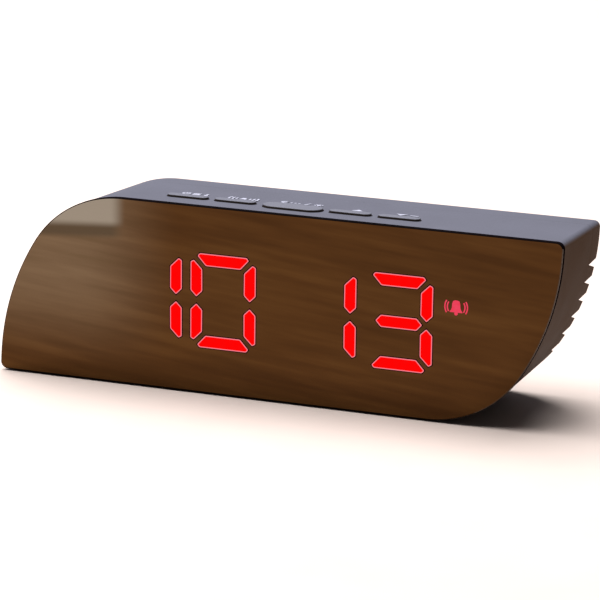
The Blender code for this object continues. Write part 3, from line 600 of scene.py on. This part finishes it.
FINISHES = {
    # half-mirror acrylic: a dark bronze mirror with a painted reflection of a room streaked into
    # its colour
    "mirror": bronze_mirror(),
    # the sawn and sprayed edge of the acrylic: nearly black, satin
    "panel_edge": moulded("dark_acrylic_edge", "#070506", "#0d0a0b", (0.5, 0.6),
                          depth=0.005 * MM, Specular_IOR_Level=0.0),
    # the polished arris: metallic, and only on the right below the top, so the thin dim line there
    # is a painted highlight; elsewhere the arris keeps the dark edge finish
    "arris_highlight": metal("polished_arris_highlight", "#3c322a", "#4e433a", (0.15, 0.25)),
    # ABS case: dull at the sides, warm brown from its own dark colour with a painted warm
    # reflection of the room; a painted blue-grey sheen on top
    "case": moulded("brown_abs_case", "#433225", "#4b392b", (0.5, 0.6), top_sheen=TOP_SHEEN,
                    Specular_IOR_Level=0.012),
    # ABS keys: darker than the case at the sides, a little glossier, the same painted sheen on top
    "keys": moulded("dark_brown_abs_keys", "#2a221d", "#332b25", (0.44, 0.54), 0.35 * MM,
                    top_sheen=TOP_SHEEN, Specular_IOR_Level=0.2),
    # ABS battery door: a separate moulding, a shade darker than the cover round it
    "door": moulded("brown_abs_door", "#403024", "#48372a", (0.48, 0.58),
                    Specular_IOR_Level=0.03),
    # polystyrene of the reflector, chip and buzzer: soot black, half matt
    "black": moulded("black_polystyrene", "#0c0c0d", "#161617", (0.4, 0.55)),
    # opal acrylic light guides: milky white and smooth
    "guide": moulded("opal_acrylic_light_guide", "#d8cfca", "#efe8e4", (0.25, 0.35),
                     depth=0.004 * MM),
    # circuit boards: glossy green with lighter tracks
    "board": solder_mask("green_solder_mask"),
    # foam tape behind the panel: matt black with an open-pored surface
    "tape": moulded("black_foam_tape", "#0d0d0d", "#1a1a1a", (0.85, 0.95), 0.3 * MM, 0.05 * MM),
    # nickel plate on the battery contacts: warm silver, softly brushed
    "spring": metal("nickel_plated_spring_steel", "#9a9a98", "#c4c4c0"),
    # zinc plate on the screws: cool grey, dull and mottled
    "screw": metal("zinc_plated_screw_steel", "#84868a", "#b4b6ba", (0.25, 0.4), (1, 1, 1),
                   0.4 * MM),
    # tin plate on the inlet shell and the battery ends: bright silver with drawn lines
    "shell": metal("tin_plated_steel_shell", "#a2a4a6", "#c8cacc", (0.2, 0.34), (1, 0.2, 1)),
    # film on the batteries: dark blue with a soft gloss
    "film": shrink_film("battery_shrink_film", "#151c30", "#1d2840"),
    # the band round one battery end: copper-brown, the same gloss
    "band": shrink_film("battery_end_band", "#8d5a2e", "#a36c3a"),
    # PVC insulation of the three leads: plain red, black and grey, half glossy
    "red_wire": moulded("red_pvc_insulation", "#8e1111", "#a81a1a", (0.35, 0.45)),
    "black_wire": moulded("black_pvc_insulation", "#0c0c0c", "#1a1a1a", (0.35, 0.45)),
    "grey_wire": moulded("grey_ribbon_pvc", "#77777a", "#8a8a8d", (0.4, 0.5)),
    # silicone rubber feet: flat black with a fine grain
    "rubber": moulded("black_silicone_foot", "#0d0d0e", "#1b1b1c", (0.75, 0.9), 0.3 * MM),
    # pad-printing ink: thin, uneven grey-white
    "ink": screen_ink("white_pad_print"),
    # light from the lamps through the acrylic: an even, saturated red
    "lit": glowing("red_light", "#ff0000", "#fa0404", 1.0, 1.5 * MM),
    # the same light at the edge of a segment: paler, towards pink
    "lit_rim": glowing("pale_red_rim", "#ff7c88", "#fa8692", 0.95, 0.8 * MM),
    # painted shade: a dark wine halo round each segment in the acrylic
    "shade_halo": moulded("painted_shade_halo", "#1a0a0d", "#220f12", (0.5, 0.6), depth=0.002 * MM,
                      Specular_IOR_Level=0.0),
    # the alarm sign's own weaker lamp: rose red
    "lit_mark": glowing("rose_light", "#ee3a52", "#f04c66", 0.95, 0.7 * MM),
}


def dress(item, *finishes):
    """Give a piece its finishes, one slot each."""
    item.data.materials.clear()
    for finish in finishes:
        item.data.materials.append(FINISHES[finish])
    return item


def paint(item, slot, test):
    """Put the faces that pass a test of centre and normal into a material slot."""
    for face in item.data.polygons:
        if test(face.center, face.normal):
            face.material_index = slot


def settle(item, body, slot, *nodes):
    """Tie a finished piece to its body and hide the CAD nodes it stands for; slot is not used."""
    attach(item, body)
    if nodes:
        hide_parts(*nodes)


# ---------------------------------------- front

def make_panel():
    """The acrylic front: a thick plate with a polished arris; lit shapes stand just proud."""
    face_y = FRONT + LIT_DEPTH
    panel = leaf_solid("mirror_panel", PANEL_INSET, (face_y, PANEL_HIGH.y))
    round_edges(panel, lambda a, b: abs(a.y - face_y) < TINY and abs(b.y - face_y) < TINY,
                ARRIS, 3)
    dress(panel, "panel_edge", "mirror", "arris_highlight")
    paint(panel, 1, lambda c, n: n.y < -0.999)
    # painted highlight: the pale metallic arris finish goes only on the right side and below the
    # top
    paint(panel, 2, lambda c, n: -0.999 <= n.y < -0.2 and n.x > 0.12 and c.z < ARRIS_HIGHLIGHT_TOP)
    smooth(panel, 50)
    settle(panel, "housing", "mirror_acrylic", "front_panel")


def segment_outlines():
    """Seven segments about a digit's middle; the outer tips are cut on the slant."""
    upright = ((8.72, 11.45), (9.68, 10.9), (9.68, 2.7), (7.93, 0.98), (6.16, 2.7), (6.2, 8.95))
    bar = ((-6.95, 13.48), (6.95, 13.48), (7.62, 12.68), (5.15, 9.96), (-5.15, 9.96),
           (-7.62, 12.68))
    middle = ((-6.7, 0), (-5.15, 1.72), (5.15, 1.72), (6.7, 0), (5.15, -1.72), (-5.15, -1.72))

    def flipped(outline, x, z):
        return [(x * a * MM, z * b * MM) for a, b in outline]

    upper_left = flipped(upright, -1, 1)[::-1]
    lower_right = flipped(upright, 1, -1)[::-1]
    return {"a": flipped(bar, 1, 1), "b": flipped(upright, 1, 1), "c": lower_right,
            "d": flipped(bar, 1, -1)[::-1], "e": flipped(upright, -1, -1),
            "f": upper_left, "g": flipped(middle, 1, 1)}


def widened(outline, amount):
    """A clockwise outline without hollows, with every side moved outwards by amount."""
    corners = [Vector(point) for point in outline]
    wider = []
    for number, corner in enumerate(corners):
        before = (corner - corners[number - 1]).normalized()
        after = (corners[(number + 1) % len(corners)] - corner).normalized()
        out = Vector((-before.y - after.y, before.x + after.x)).normalized()
        reach = amount / out.dot(Vector((-before.y, before.x)))
        wider.append(tuple(corner + out * reach))
    return wider


def glow_plate(name, outline):
    """A thin lit shape on the panel: red inside, a paler rim, softened corners, and a dark
    wine halo of painted shade round it."""
    def place(a, b):
        return (a, PLATE_BACK, DIGIT_Z + b)

    item = flat_shape(name, outline, place, (0, PLATE_FACE - PLATE_BACK, 0))
    round_edges(item, lambda a, b: abs(a.x - b.x) < TINY and abs(a.z - b.z) < TINY,
                SEGMENT_ROUND, 3)
    choose(item, "FACE", lambda c, n: n.y < -0.9)
    bpy.ops.mesh.inset(thickness=RIM)
    bpy.ops.object.mode_set(mode="OBJECT")
    dress(item, "lit_rim", "lit", "shade_halo")
    for face in item.data.polygons:
        face.material_index = 1 if face.select else 0
    # painted shade: a dark halo plate a little wider than the segment, just behind it
    shade_halo = flat_shape("shade_halo", widened(outline, SHADE_HALO), place,
                        (0, SHADE_HALO_FACE - PLATE_BACK, 0))
    dress(shade_halo, "lit_rim", "lit", "shade_halo")
    paint(shade_halo, 2, lambda c, n: True)
    return merged(name, [item, shade_halo])


def make_digits():
    """Each segment is made once and copied to the digits that show it."""
    plates = {letter: glow_plate(f"segment_{letter}", outline)
              for letter, outline in segment_outlines().items()}
    for number, (x, lit) in enumerate(zip(DIGIT_X, TIME_SHOWN), start=1):
        shown = [twin(plates[letter], f"digit_{number}_{letter}", (x, 0, 0)) for letter in lit]
        digit = merged(f"lit_digit_{number}", shown)
        settle(digit, "housing", "light_guide")
    for plate in plates.values():
        bpy.data.objects.remove(plate, do_unlink=True)


def arc(centre, radius, start, end, steps=12):
    """Points along an arc, with its ends in degrees."""
    return [(centre[0] + radius * cos(radians(start + (end - start) * step / steps)),
             centre[1] + radius * sin(radians(start + (end - start) * step / steps)))
            for step in range(steps + 1)]


def stroke(path, width):
    """The outline of a line of even width drawn along a path."""
    left = []
    right = []
    for number, point in enumerate(path):
        ahead = Vector(path[min(number + 1, len(path) - 1)])
        behind = Vector(path[max(number - 1, 0)])
        along = (ahead - behind).normalized()
        across = Vector((-along.y, along.x)) * width / 2
        left.append(tuple(Vector(point) + across))
        right.append(tuple(Vector(point) - across))
    return left + right[::-1]


def bell_outline():
    """A hand bell in a unit square: crown, waist and flared lip."""
    side = [(0.10, 0.46), (0.24, 0.40), (0.30, 0.22), (0.32, -0.06), (0.38, -0.22),
            (0.48, -0.32), (0.48, -0.38)]
    return side + [(-a, b) for a, b in side[::-1]]


def make_alarm_mark():
    """A small lit bell with a ring of sound either side."""
    tall = ALARM_TALL
    shapes = [[(a * tall * 0.94, b * tall) for a, b in bell_outline()],
              arc((0, -tall * 0.46), CLAPPER_R, 0, 330, 11)]
    for side in (0, 180):
        for reach in (2.5 * MM, 3.2 * MM):
            path = arc((0, 0), reach, side - 32, side + 32, 8)
            shapes.append(stroke(path, WAVE_LINE))
    parts = [flat_shape("mark", shape, lambda a, b: (ALARM_X + a, PLATE_BACK, ALARM_Z + b),
                        (0, PLATE_FACE - PLATE_BACK, 0)) for shape in shapes]
    mark = merged("lit_alarm_mark", parts)
    dress(mark, "lit_mark")
    settle(mark, "housing", "light_guide")


# ---------------------------------------- case

def key_centre(name):
    """The middle of a key's CAD box."""
    low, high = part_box(name)
    return (low + high) / 2


def key_size(name):
    """Length and width of the part of a key that stands in its slot."""
    low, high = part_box(name)
    return high.x - low.x - 2 * KEY_FLANGE, high.y - low.y - 2 * KEY_FLANGE


def make_case():
    """The tub behind the panel, with its window, key slots and seats for the feet."""
    front = CASE_FRONT
    rear = SEAM_FRONT
    case = leaf_solid("case_shell", SHELL_INSET, (front, (front + rear) / 2, rear))
    round_edges(case, lambda a, b: max(a.y, b.y) < front + TINY, CASE_ROUND, 3)
    round_edges(case, lambda a, b: min(a.y, b.y) > rear - TINY, SEAM_ROUND, 2)
    combine(case, leaf_solid("hollow", SHELL_INSET + WALL, (front + FRONT_WALL, rear + MM)))
    low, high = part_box("display_reflector")
    gap = Vector((WINDOW_GAP, 0, WINDOW_GAP))
    window = box_piece("window", low - gap - Vector((0, MM, 0)), high + gap)
    combine(case, window)
    for name in KEYS:
        centre = key_centre(name)
        length, width = key_size(name)
        outline = pill(length + KEY_GAP, width + KEY_GAP)
        combine(case, flat_shape("slot", outline,
                                 lambda a, b: (centre.x + a, centre.y + b, SLOT_FLOOR),
                                 (0, 0, SLOT_TALL)))
    for number in range(1, 5):
        low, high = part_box(f"foot_{number}")
        middle = (low + high) / 2
        radius = (high.x - low.x) / 2 + SEAT_GAP
        combine(case, rod_piece("seat", radius, (middle.x, middle.y, -MM),
                                (middle.x, middle.y, high.z + SEAT_GAP)))
    dress(case, "case")
    smooth(case, 30)
    settle(case, "housing", "case_plastic", "main_housing")


def make_key(name):
    """A key with its flange below the case, a level skirt and a sloping, softened top."""
    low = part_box(name)[0]
    centre = key_centre(name)
    length, width = key_size(name)
    flange = pill(length + 2 * KEY_FLANGE, width + 2 * KEY_FLANGE)
    key = flat_shape(name.replace("_button", "_key"), flange,
                     lambda a, b: (centre.x + a, centre.y + b, low.z), (0, 0, FLANGE_THICK))
    choose(key, "FACE", lambda c, n: n.z > 0.9)
    bpy.ops.mesh.inset(thickness=KEY_FLANGE)
    top = top_height(centre.y) + KEY_RISE
    rise = top - low.z - FLANGE_THICK
    bpy.ops.mesh.extrude_region_move(TRANSFORM_OT_translate={"value": (0, 0, rise)})
    bpy.ops.object.mode_set(mode="OBJECT")
    for vertex in key.data.vertices:
        if vertex.co.z > top - TINY:
            vertex.co.z -= (vertex.co.y - centre.y) * REAR_TOP_DROP / DEPTH
    near = top - 0.3 * MM
    round_edges(key, lambda a, b: a.z > near and b.z > near, KEY_ROUND, 3)
    close_edit(key)
    dress(key, "keys")
    return smooth(key, 40)


def make_keys():
    """The four small keys are one key copied along the row; the snooze key is its own."""
    small = make_key("mode_button")
    settle(small, "mode_button", "button_plastic", "mode_button")
    start = key_centre("mode_button")
    for name in ("alarm_button", "up_button", "down_button"):
        key = twin(small, name.replace("_button", "_key"), key_centre(name) - start)
        settle(key, name, "button_plastic", name)
    settle(make_key("snooze_button"), "snooze_button", "button_plastic", "snooze_button")


def mark_shapes(name):
    """Printed signs behind the keys: outlines in millimetres, each with its shift along X."""
    line = MARK_LINE / MM
    if name == "mode_button":
        ring = stroke(arc((0, 0), 1.0, 90, 445, 22), line)
        hand = stroke([(0, 0.75), (0, 0), (0.5, 0)], line * 0.8)
        page = [(-1.1, 0.5), (1.1, 0.5), (1.1, -1.2), (-1.1, -1.2)]
        rule = [(-1.1, 1.2), (1.1, 1.2), (1.1, 0.75), (-1.1, 0.75)]
        tube = stroke([(0, 1.2), (0, -0.4)], line * 1.2)
        bulb = arc((0, -0.6), 0.62, 0, 330, 11)
        return [(ring, -2.9), (hand, -2.9), (page, 0.2), (rule, 0.2), (tube, 3.1), (bulb, 3.1)]
    if name == "alarm_button":
        bell = [(a * 2.4, b * 2.4 + 0.1) for a, b in bell_outline()]
        waves = [(stroke(arc((0, 0), reach, side - 24, side + 24, 8), line), 0)
                 for side in (0, 180) for reach in (2.0, 3.1, 4.2)]
        return [(bell, 0)] + waves
    if name == "snooze_button":
        moon = arc((0, 0), 1.2, 60, 300, 16) + arc((0.6, 0), 1.05, 282, 78, 14)
        dots = [(arc((0, -0.3), 0.36, 0, 330, 9), shift) for shift in (-3.4, -2.2, -1.0)]
        slash = stroke([(-0.6, -1.1), (0.6, 1.1)], line)
        sun = [(arc((0, 0), 0.6, 0, 345, 14), 4.6)]
        for step in range(8):
            a = radians(45 * step)
            ray = [(0.85 * cos(a), 0.85 * sin(a)), (1.35 * cos(a), 1.35 * sin(a))]
            sun.append((stroke(ray, line * 0.8), 4.6))
        return [(moon, -5.3), (slash, 1.4)] + dots + sun
    if name == "up_button":
        return [([(-1.7, -0.9), (0, 1.0), (1.7, -0.9)], 0)]
    minus = [(-1.2, 0.3), (1.2, 0.3), (1.2, -0.3), (-1.2, -0.3)]
    return [([(-1.7, 0.9), (1.7, 0.9), (0, -1.0)], -1.6), (minus, 2.2)]


def make_marks():
    """One sign printed on the case behind each key, following the slope of the top."""
    tilt = REAR_TOP_DROP / DEPTH
    for name in KEYS:
        centre = key_centre(name)
        width = key_size(name)[1]
        y = centre.y + width / 2 + MARK_BEHIND

        def place(a, b):
            return (centre.x + MARK_RIGHT + a, y + b, top_height(y) - b * tilt - 0.03 * MM)

        parts = []
        for shape, shift in mark_shapes(name):
            outline = [((a + shift) * MM, b * MM) for a, b in shape]
            parts.append(flat_shape("sign", outline, place, (0, 0, 0.05 * MM)))
        mark = merged(name.replace("_button", "_sign"), parts)
        dress(mark, "ink")
        settle(mark, "housing", "button_plastic")


def make_feet():
    """One rubber foot with a rounded rim, copied to the four seats."""
    low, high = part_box("foot_1")
    middle = (low + high) / 2
    radius = (high.x - low.x) / 2
    foot = rod_piece("rubber_foot_1", radius, (middle.x, middle.y, low.z),
                     (middle.x, middle.y, high.z), 56)
    round_edges(foot, lambda a, b: max(a.z, b.z) < low.z + TINY, FOOT_ROUND, 4)
    dress(foot, "rubber")
    smooth(foot, 40)
    for number in range(2, 5):
        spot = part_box(f"foot_{number}")[0]
        other = twin(foot, f"rubber_foot_{number}", spot - low)
        settle(other, "housing", "foot_rubber", f"foot_{number}")
    settle(foot, "housing", "foot_rubber", "foot_1")


# ---------------------------------------- rear

def louvre_tool(lip, side):
    """A wedge that cuts one groove: sharp along its root, wide at the mouth."""
    root = COVER_FRONT + LOUVRE_WEB
    out = REAR + MM
    over = (out - root) / (REAR - root)
    top = lip + LOUVRE_ROOT + (LOUVRE_MOUTH - LOUVRE_ROOT) * over
    profile = ((root, lip + LOUVRE_ROOT), (out, top), (out, lip + LOUVRE_ROOT * (1 - over)))
    start = side * FLAT_HALF
    return flat_shape("louvre", profile, lambda a, b: (start, a, b),
                      (side * LOUVRE_REACH, 0, 0))


def make_cover():
    """The rear cover: louvred ends, plain middle with the battery bay and screw wells."""
    cover = leaf_solid("cover_shell", SHELL_INSET, (SEAM_REAR, (SEAM_REAR + REAR) / 2, REAR))
    round_edges(cover, lambda a, b: min(a.y, b.y) > REAR - TINY, REAR_ROUND, 5)
    round_edges(cover, lambda a, b: max(a.y, b.y) < SEAM_REAR + TINY, SEAM_ROUND, 2)
    spigot_in = SHELL_INSET + WALL + 0.3 * MM
    inside = COVER_FRONT - SPIGOT
    combine(cover, leaf_solid("spigot", spigot_in, (inside, COVER_FRONT + MM)), "UNION")
    bay_low = Vector((-BAY_HALF, BAY_FLOOR, BAY_Z[0]))
    bay_high = Vector((BAY_HALF, REAR + MM, BAY_Z[1]))
    combine(cover, box_piece("bay_walls", bay_low - BAY_SKIN,
                             (BAY_HALF + BAY_SKIN.x, COVER_FRONT + MM, BAY_Z[1] + BAY_SKIN.z)),
            "UNION")
    combine(cover, box_piece("bay", bay_low, bay_high))
    for side in (-1, 1):
        near, far = sorted(side * x for x in POCKET_X)
        combine(cover, box_piece("pocket", (near, inside - MM, POCKET_Z[0]),
                                 (far, REAR - WALL, POCKET_Z[1])))
        for number in range(LOUVRES):
            combine(cover, louvre_tool(LOUVRE_TOP - number * LOUVRE_PITCH, side))
    for x, z in SCREW_SPOTS:
        combine(cover, rod_piece("well", WELL_R, (x, COVER_FRONT + 0.9 * MM, z),
                                 (x, REAR + MM, z), 40))
        combine(cover, rod_piece("hole", SCREW_HOLE_R, (x, inside - MM, z), (x, REAR, z), 24))
    door_gap = Vector((0.25, 0.3, 0.25)) * MM
    seat_low = Vector((DOOR_LOW.x, REAR - DOOR_THICK, DOOR_BOTTOM)) - door_gap
    combine(cover, box_piece("door_seat", seat_low,
                             (DOOR_HIGH.x + door_gap.x, REAR + MM, DOOR_TOP + 0.4 * MM)))
    for side in (-1, 1):
        middle = side * TONGUE_X
        combine(cover, box_piece("tongue_slot",
                                 (middle - TONGUE_HALF - 0.3 * MM, REAR - 3.45 * MM, TONGUE_Z[0]),
                                 (middle + TONGUE_HALF + 0.3 * MM, REAR - 0.7 * MM,
                                  TONGUE_Z[1])))
    combine(cover, box_piece("latch_slot", (-LATCH_HALF, REAR - 4.6 * MM, LATCH_Z[0]),
                             (LATCH_HALF, REAR + 2 * MM, LATCH_Z[1])))
    scoop_y = REAR + 2.4 * MM
    combine(cover, rod_piece("finger_scoop", SCOOP_R, (-SCOOP_HALF, scoop_y, SCOOP_Z),
                             (SCOOP_HALF, scoop_y, SCOOP_Z), 64))
    low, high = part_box("power_inlet")
    centre = (low + high) / 2
    outline = pill(high.x - low.x + INLET_GAP, high.z - low.z + INLET_GAP)
    combine(cover, flat_shape("inlet_mouth", outline,
                              lambda a, b: (centre.x + a, REAR - 3 * MM, centre.z + b),
                              (0, 4 * MM, 0)))
    round_edges(cover, lambda a, b: min(a.y, b.y) > REAR - TINY and is_mouth(a) and is_mouth(b),
                MOUTH_ROUND, 2)
    dress(cover, "case")
    smooth(cover, 30)
    settle(cover, "housing", "case_plastic", "rear_cover")


def is_mouth(point):
    """Whether a point lies on the rim of a screw well or of the inlet."""
    wells = [abs(((point.x - x) ** 2 + (point.z - z) ** 2) ** 0.5 - WELL_R) < 0.02 * MM
             for x, z in SCREW_SPOTS]
    inlet = abs(point.x - INLET_SPOT[0]) < 5 * MM and abs(point.z - INLET_SPOT[1]) < 2.5 * MM
    return inlet or any(wells)


def make_door():
    """The battery door: softened edges, grip ribs by the latch, two tongues and a hook."""
    thick_in = REAR - DOOR_THICK
    door = box_piece("door_plate", (DOOR_LOW.x, thick_in, DOOR_BOTTOM),
                     (DOOR_HIGH.x, REAR, DOOR_TOP))
    round_edges(door, lambda a, b: abs(a.y - b.y) > MM, DOOR_CORNER, 5)
    round_edges(door, lambda a, b: min(a.y, b.y) > REAR - TINY, DOOR_ROUND, 3)
    for step in range(GRIP_RIBS):
        z = DOOR_BOTTOM + (3.2 + 1.5 * step) * MM
        groove = pill(GRIP_LONG, GRIP_WIDE)
        combine(door, flat_shape("groove", groove, lambda a, b: (a, REAR - GRIP_DEEP, z + b),
                                 (0, MM, 0)))
    for side in (-1, 1):
        middle = side * TONGUE_X
        combine(door, box_piece("tongue", (middle - TONGUE_HALF, thick_in, DOOR_TOP - 0.5 * MM),
                                (middle + TONGUE_HALF, thick_in + TONGUE_THICK, DOOR_HIGH.z)),
                "UNION")
    combine(door, box_piece("hook", (-HOOK_HALF, DOOR_LOW.y, DOOR_BOTTOM + 0.3 * MM),
                            (HOOK_HALF, thick_in + 0.5 * MM, DOOR_BOTTOM + 1.3 * MM)), "UNION")
    dress(door, "door")
    smooth(door, 35)
    settle(door, "battery_door", "case_plastic", "battery_door")


def make_screws():
    """One pan-head screw with a cross recess and a plain shank, copied to the four wells."""
    low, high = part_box("cover_screw_1")
    middle = (low + high) / 2
    head_r = (high.x - low.x) / 2
    head = rod_piece("cover_screw_head", head_r, (middle.x, high.y - SCREW_HEAD, middle.z),
                     (middle.x, high.y, middle.z), 40)
    round_edges(head, lambda a, b: min(a.y, b.y) > high.y - TINY, SCREW_DOME, 4)
    shank = rod_piece("shank", MM, (middle.x, low.y, middle.z),
                      (middle.x, high.y - SCREW_HEAD + 0.05 * MM, middle.z), 24)
    combine(head, shank, "UNION")
    for along, across in ((CROSS_LONG, CROSS_WIDE), (CROSS_WIDE, CROSS_LONG)):
        combine(head, box_piece("cross", (middle.x - along, high.y - CROSS_DEEP, middle.z - across),
                                (middle.x + along, high.y + MM, middle.z + across)))
    dress(head, "screw")
    smooth(head, 35)
    for number in range(2, 5):
        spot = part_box(f"cover_screw_{number}")[0]
        other = twin(head, f"pan_head_screw_{number}", spot - low)
        settle(other, "housing", "steel", f"cover_screw_{number}")
    head.name = "pan_head_screw_1"
    settle(head, "housing", "steel", "cover_screw_1")


def make_cells():
    """One battery with film rolled over its ends and a raised cap, copied to the three
    places; the first and the last lie the other way round."""
    low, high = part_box("battery_1")
    radius = (high.z - low.z) / 2
    length = high.x - low.x
    cell = rod_piece("cell", radius, (0, 0, 0), (length - CELL_CAP, 0, 0), 48)
    round_edges(cell, lambda a, b: abs(a.x - b.x) < TINY, CELL_ROUND, 4)
    choose(cell, "FACE", lambda c, n: True)
    bpy.ops.mesh.bisect(plane_co=(CELL_BAND, 0, 0), plane_no=(1, 0, 0))
    bpy.ops.object.mode_set(mode="OBJECT")
    dress(cell, "film", "band", "shell")
    paint(cell, 1, lambda c, n: c.x > CELL_BAND)
    paint(cell, 2, lambda c, n: abs(n.x) > 0.95)
    cap = rod_piece("cap", CELL_CAP_R, (length - CELL_CAP - MM, 0, 0), (length, 0, 0), 32)
    round_edges(cap, lambda a, b: min(a.x, b.x) > length - TINY, 0.3 * MM, 3)
    dress(cap, "film", "band", "shell")
    paint(cap, 2, lambda c, n: True)
    combine(cell, cap, "UNION")
    smooth(cell, 40)
    for number in range(1, 4):
        low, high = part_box(f"battery_{number}")
        middle = (low + high) / 2
        other = twin(cell, f"wrapped_cell_{number}", (-length / 2, 0, 0))
        if number != 2:
            other.data.transform(Matrix.Rotation(pi, 4, "Z"))
        other.data.transform(Matrix.Translation(middle))
        settle(other, "housing", "battery_wrap", f"battery_{number}")
    bpy.data.objects.remove(cell, do_unlink=True)


# ---------------------------------------- carried-over parts

def finish_nodes():
    """A finish for each CAD part that shows as it is."""
    rules = (
        ("panel_tape", "tape"), ("display_reflector", "black"), ("controller_chip", "black"),
        ("alarm_buzzer", "black"), ("inlet_tongue", "black"), ("switch_plunger", "black"),
        ("guide", "guide"), ("board_screw", "screw"), ("screw", "screw"), ("board", "board"),
        ("crystal", "shell"), ("switch_body", "shell"), ("power_inlet", "shell"),
        ("contact", "spring"), ("bridge", "spring"), ("lead_red", "red_wire"),
        ("lead_black", "black_wire"), ("ribbon", "grey_wire"), ("battery_door", "door"),
        ("battery_", "film"), ("foot", "rubber"), ("housing", "case"), ("cover", "case"),
        ("button", "keys"), ("front_panel", "mirror"),
    )
    for name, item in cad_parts.items():
        finish = next(finish for word, finish in rules if word in name)
        dress(item, finish)


# ---------------------------------------- stage

def make_stage():
    """A plain pale floor under one large soft light, with a weak one low behind."""
    clear_selection()
    bpy.ops.mesh.primitive_plane_add(size=6, location=(0, 0, 0))
    floor = named("floor")
    finish, tree, shader = begin("pale_warm_paper", Roughness=0.8, Specular_IOR_Level=0.1)
    place = position(tree)
    fibres = grain(tree, place, 30 * MM, 3.0)
    tree.links.new(ramp(tree, fibres, ((0.3, "#b0a398"), (0.7, "#b3a69b"))),
                   shader.inputs["Base Color"])
    floor.data.materials.append(finish)

    def soft_light(name, place, aim, size, power, colour):
        lamp = bpy.data.lights.new(name, "AREA")
        lamp.shape = "RECTANGLE"
        lamp.size, lamp.size_y = size
        lamp.energy = power
        lamp.color = linear(colour)[:3]
        item = bpy.data.objects.new(name, lamp)
        bpy.context.scene.collection.objects.link(item)
        item.location = place
        item.rotation_euler = (Vector(aim) - Vector(place)).to_track_quat("-Z", "Y").to_euler()

    soft_light("overhead", (-0.3, 0.15, 1.3), (0, 0, 0), (1.5, 1.3), 80, "#f8f8ff")
    soft_light("rear_glow", (-0.5, 1.2, 0.36), (0, 0, 0.03), (1.3, 0.6), 2, "#e6e8ff")
    world = bpy.data.worlds.new("studio")
    bpy.context.scene.world = world
    world.use_nodes = True
    tree = world.node_tree
    tree.nodes.clear()
    seen = add(tree, "ShaderNodeBackground", {"Color": linear("#ffffff"), "Strength": 1.0})
    felt = add(tree, "ShaderNodeBackground", {"Color": linear("#eceaf4"), "Strength": 0.1})
    ray = add(tree, "ShaderNodeLightPath")
    mix = add(tree, "ShaderNodeMixShader", {0: ray.outputs["Is Camera Ray"],
                                            1: felt.outputs[0], 2: seen.outputs[0]})
    add(tree, "ShaderNodeOutputWorld", {"Surface": mix.outputs[0]})
    bpy.context.scene.view_settings.view_transform = "Standard"


def place_camera():
    """Right of the middle and a little above, looking slightly down along a long lens."""
    forward = Vector((-sin(CAMERA_YAW) * cos(CAMERA_PITCH), cos(CAMERA_YAW) * cos(CAMERA_PITCH),
                      -sin(CAMERA_PITCH)))
    right = forward.cross(Vector((0, 0, 1))).normalized()
    up = right.cross(forward)
    tilted = cos(CAMERA_ROLL) * right + sin(CAMERA_ROLL) * up
    upright = cos(CAMERA_ROLL) * up - sin(CAMERA_ROLL) * right
    lens = bpy.data.cameras.new("camera")
    lens.sensor_width = 36
    lens.lens = CAMERA_LENS
    lens.clip_start = 0.01
    camera = bpy.data.objects.new("camera", lens)
    bpy.context.scene.collection.objects.link(camera)
    turn = Matrix((tilted, upright, -forward)).transposed().to_4x4()
    camera.matrix_world = Matrix.Translation(CAMERA_AIM - forward * CAMERA_AWAY) @ turn
    bpy.context.scene.camera = camera


place_camera()
make_stage()
finish_nodes()
make_panel()
make_digits()
make_alarm_mark()
make_case()
make_keys()
make_marks()
make_feet()
make_cover()
make_door()
make_screws()
make_cells()
clear_selection()
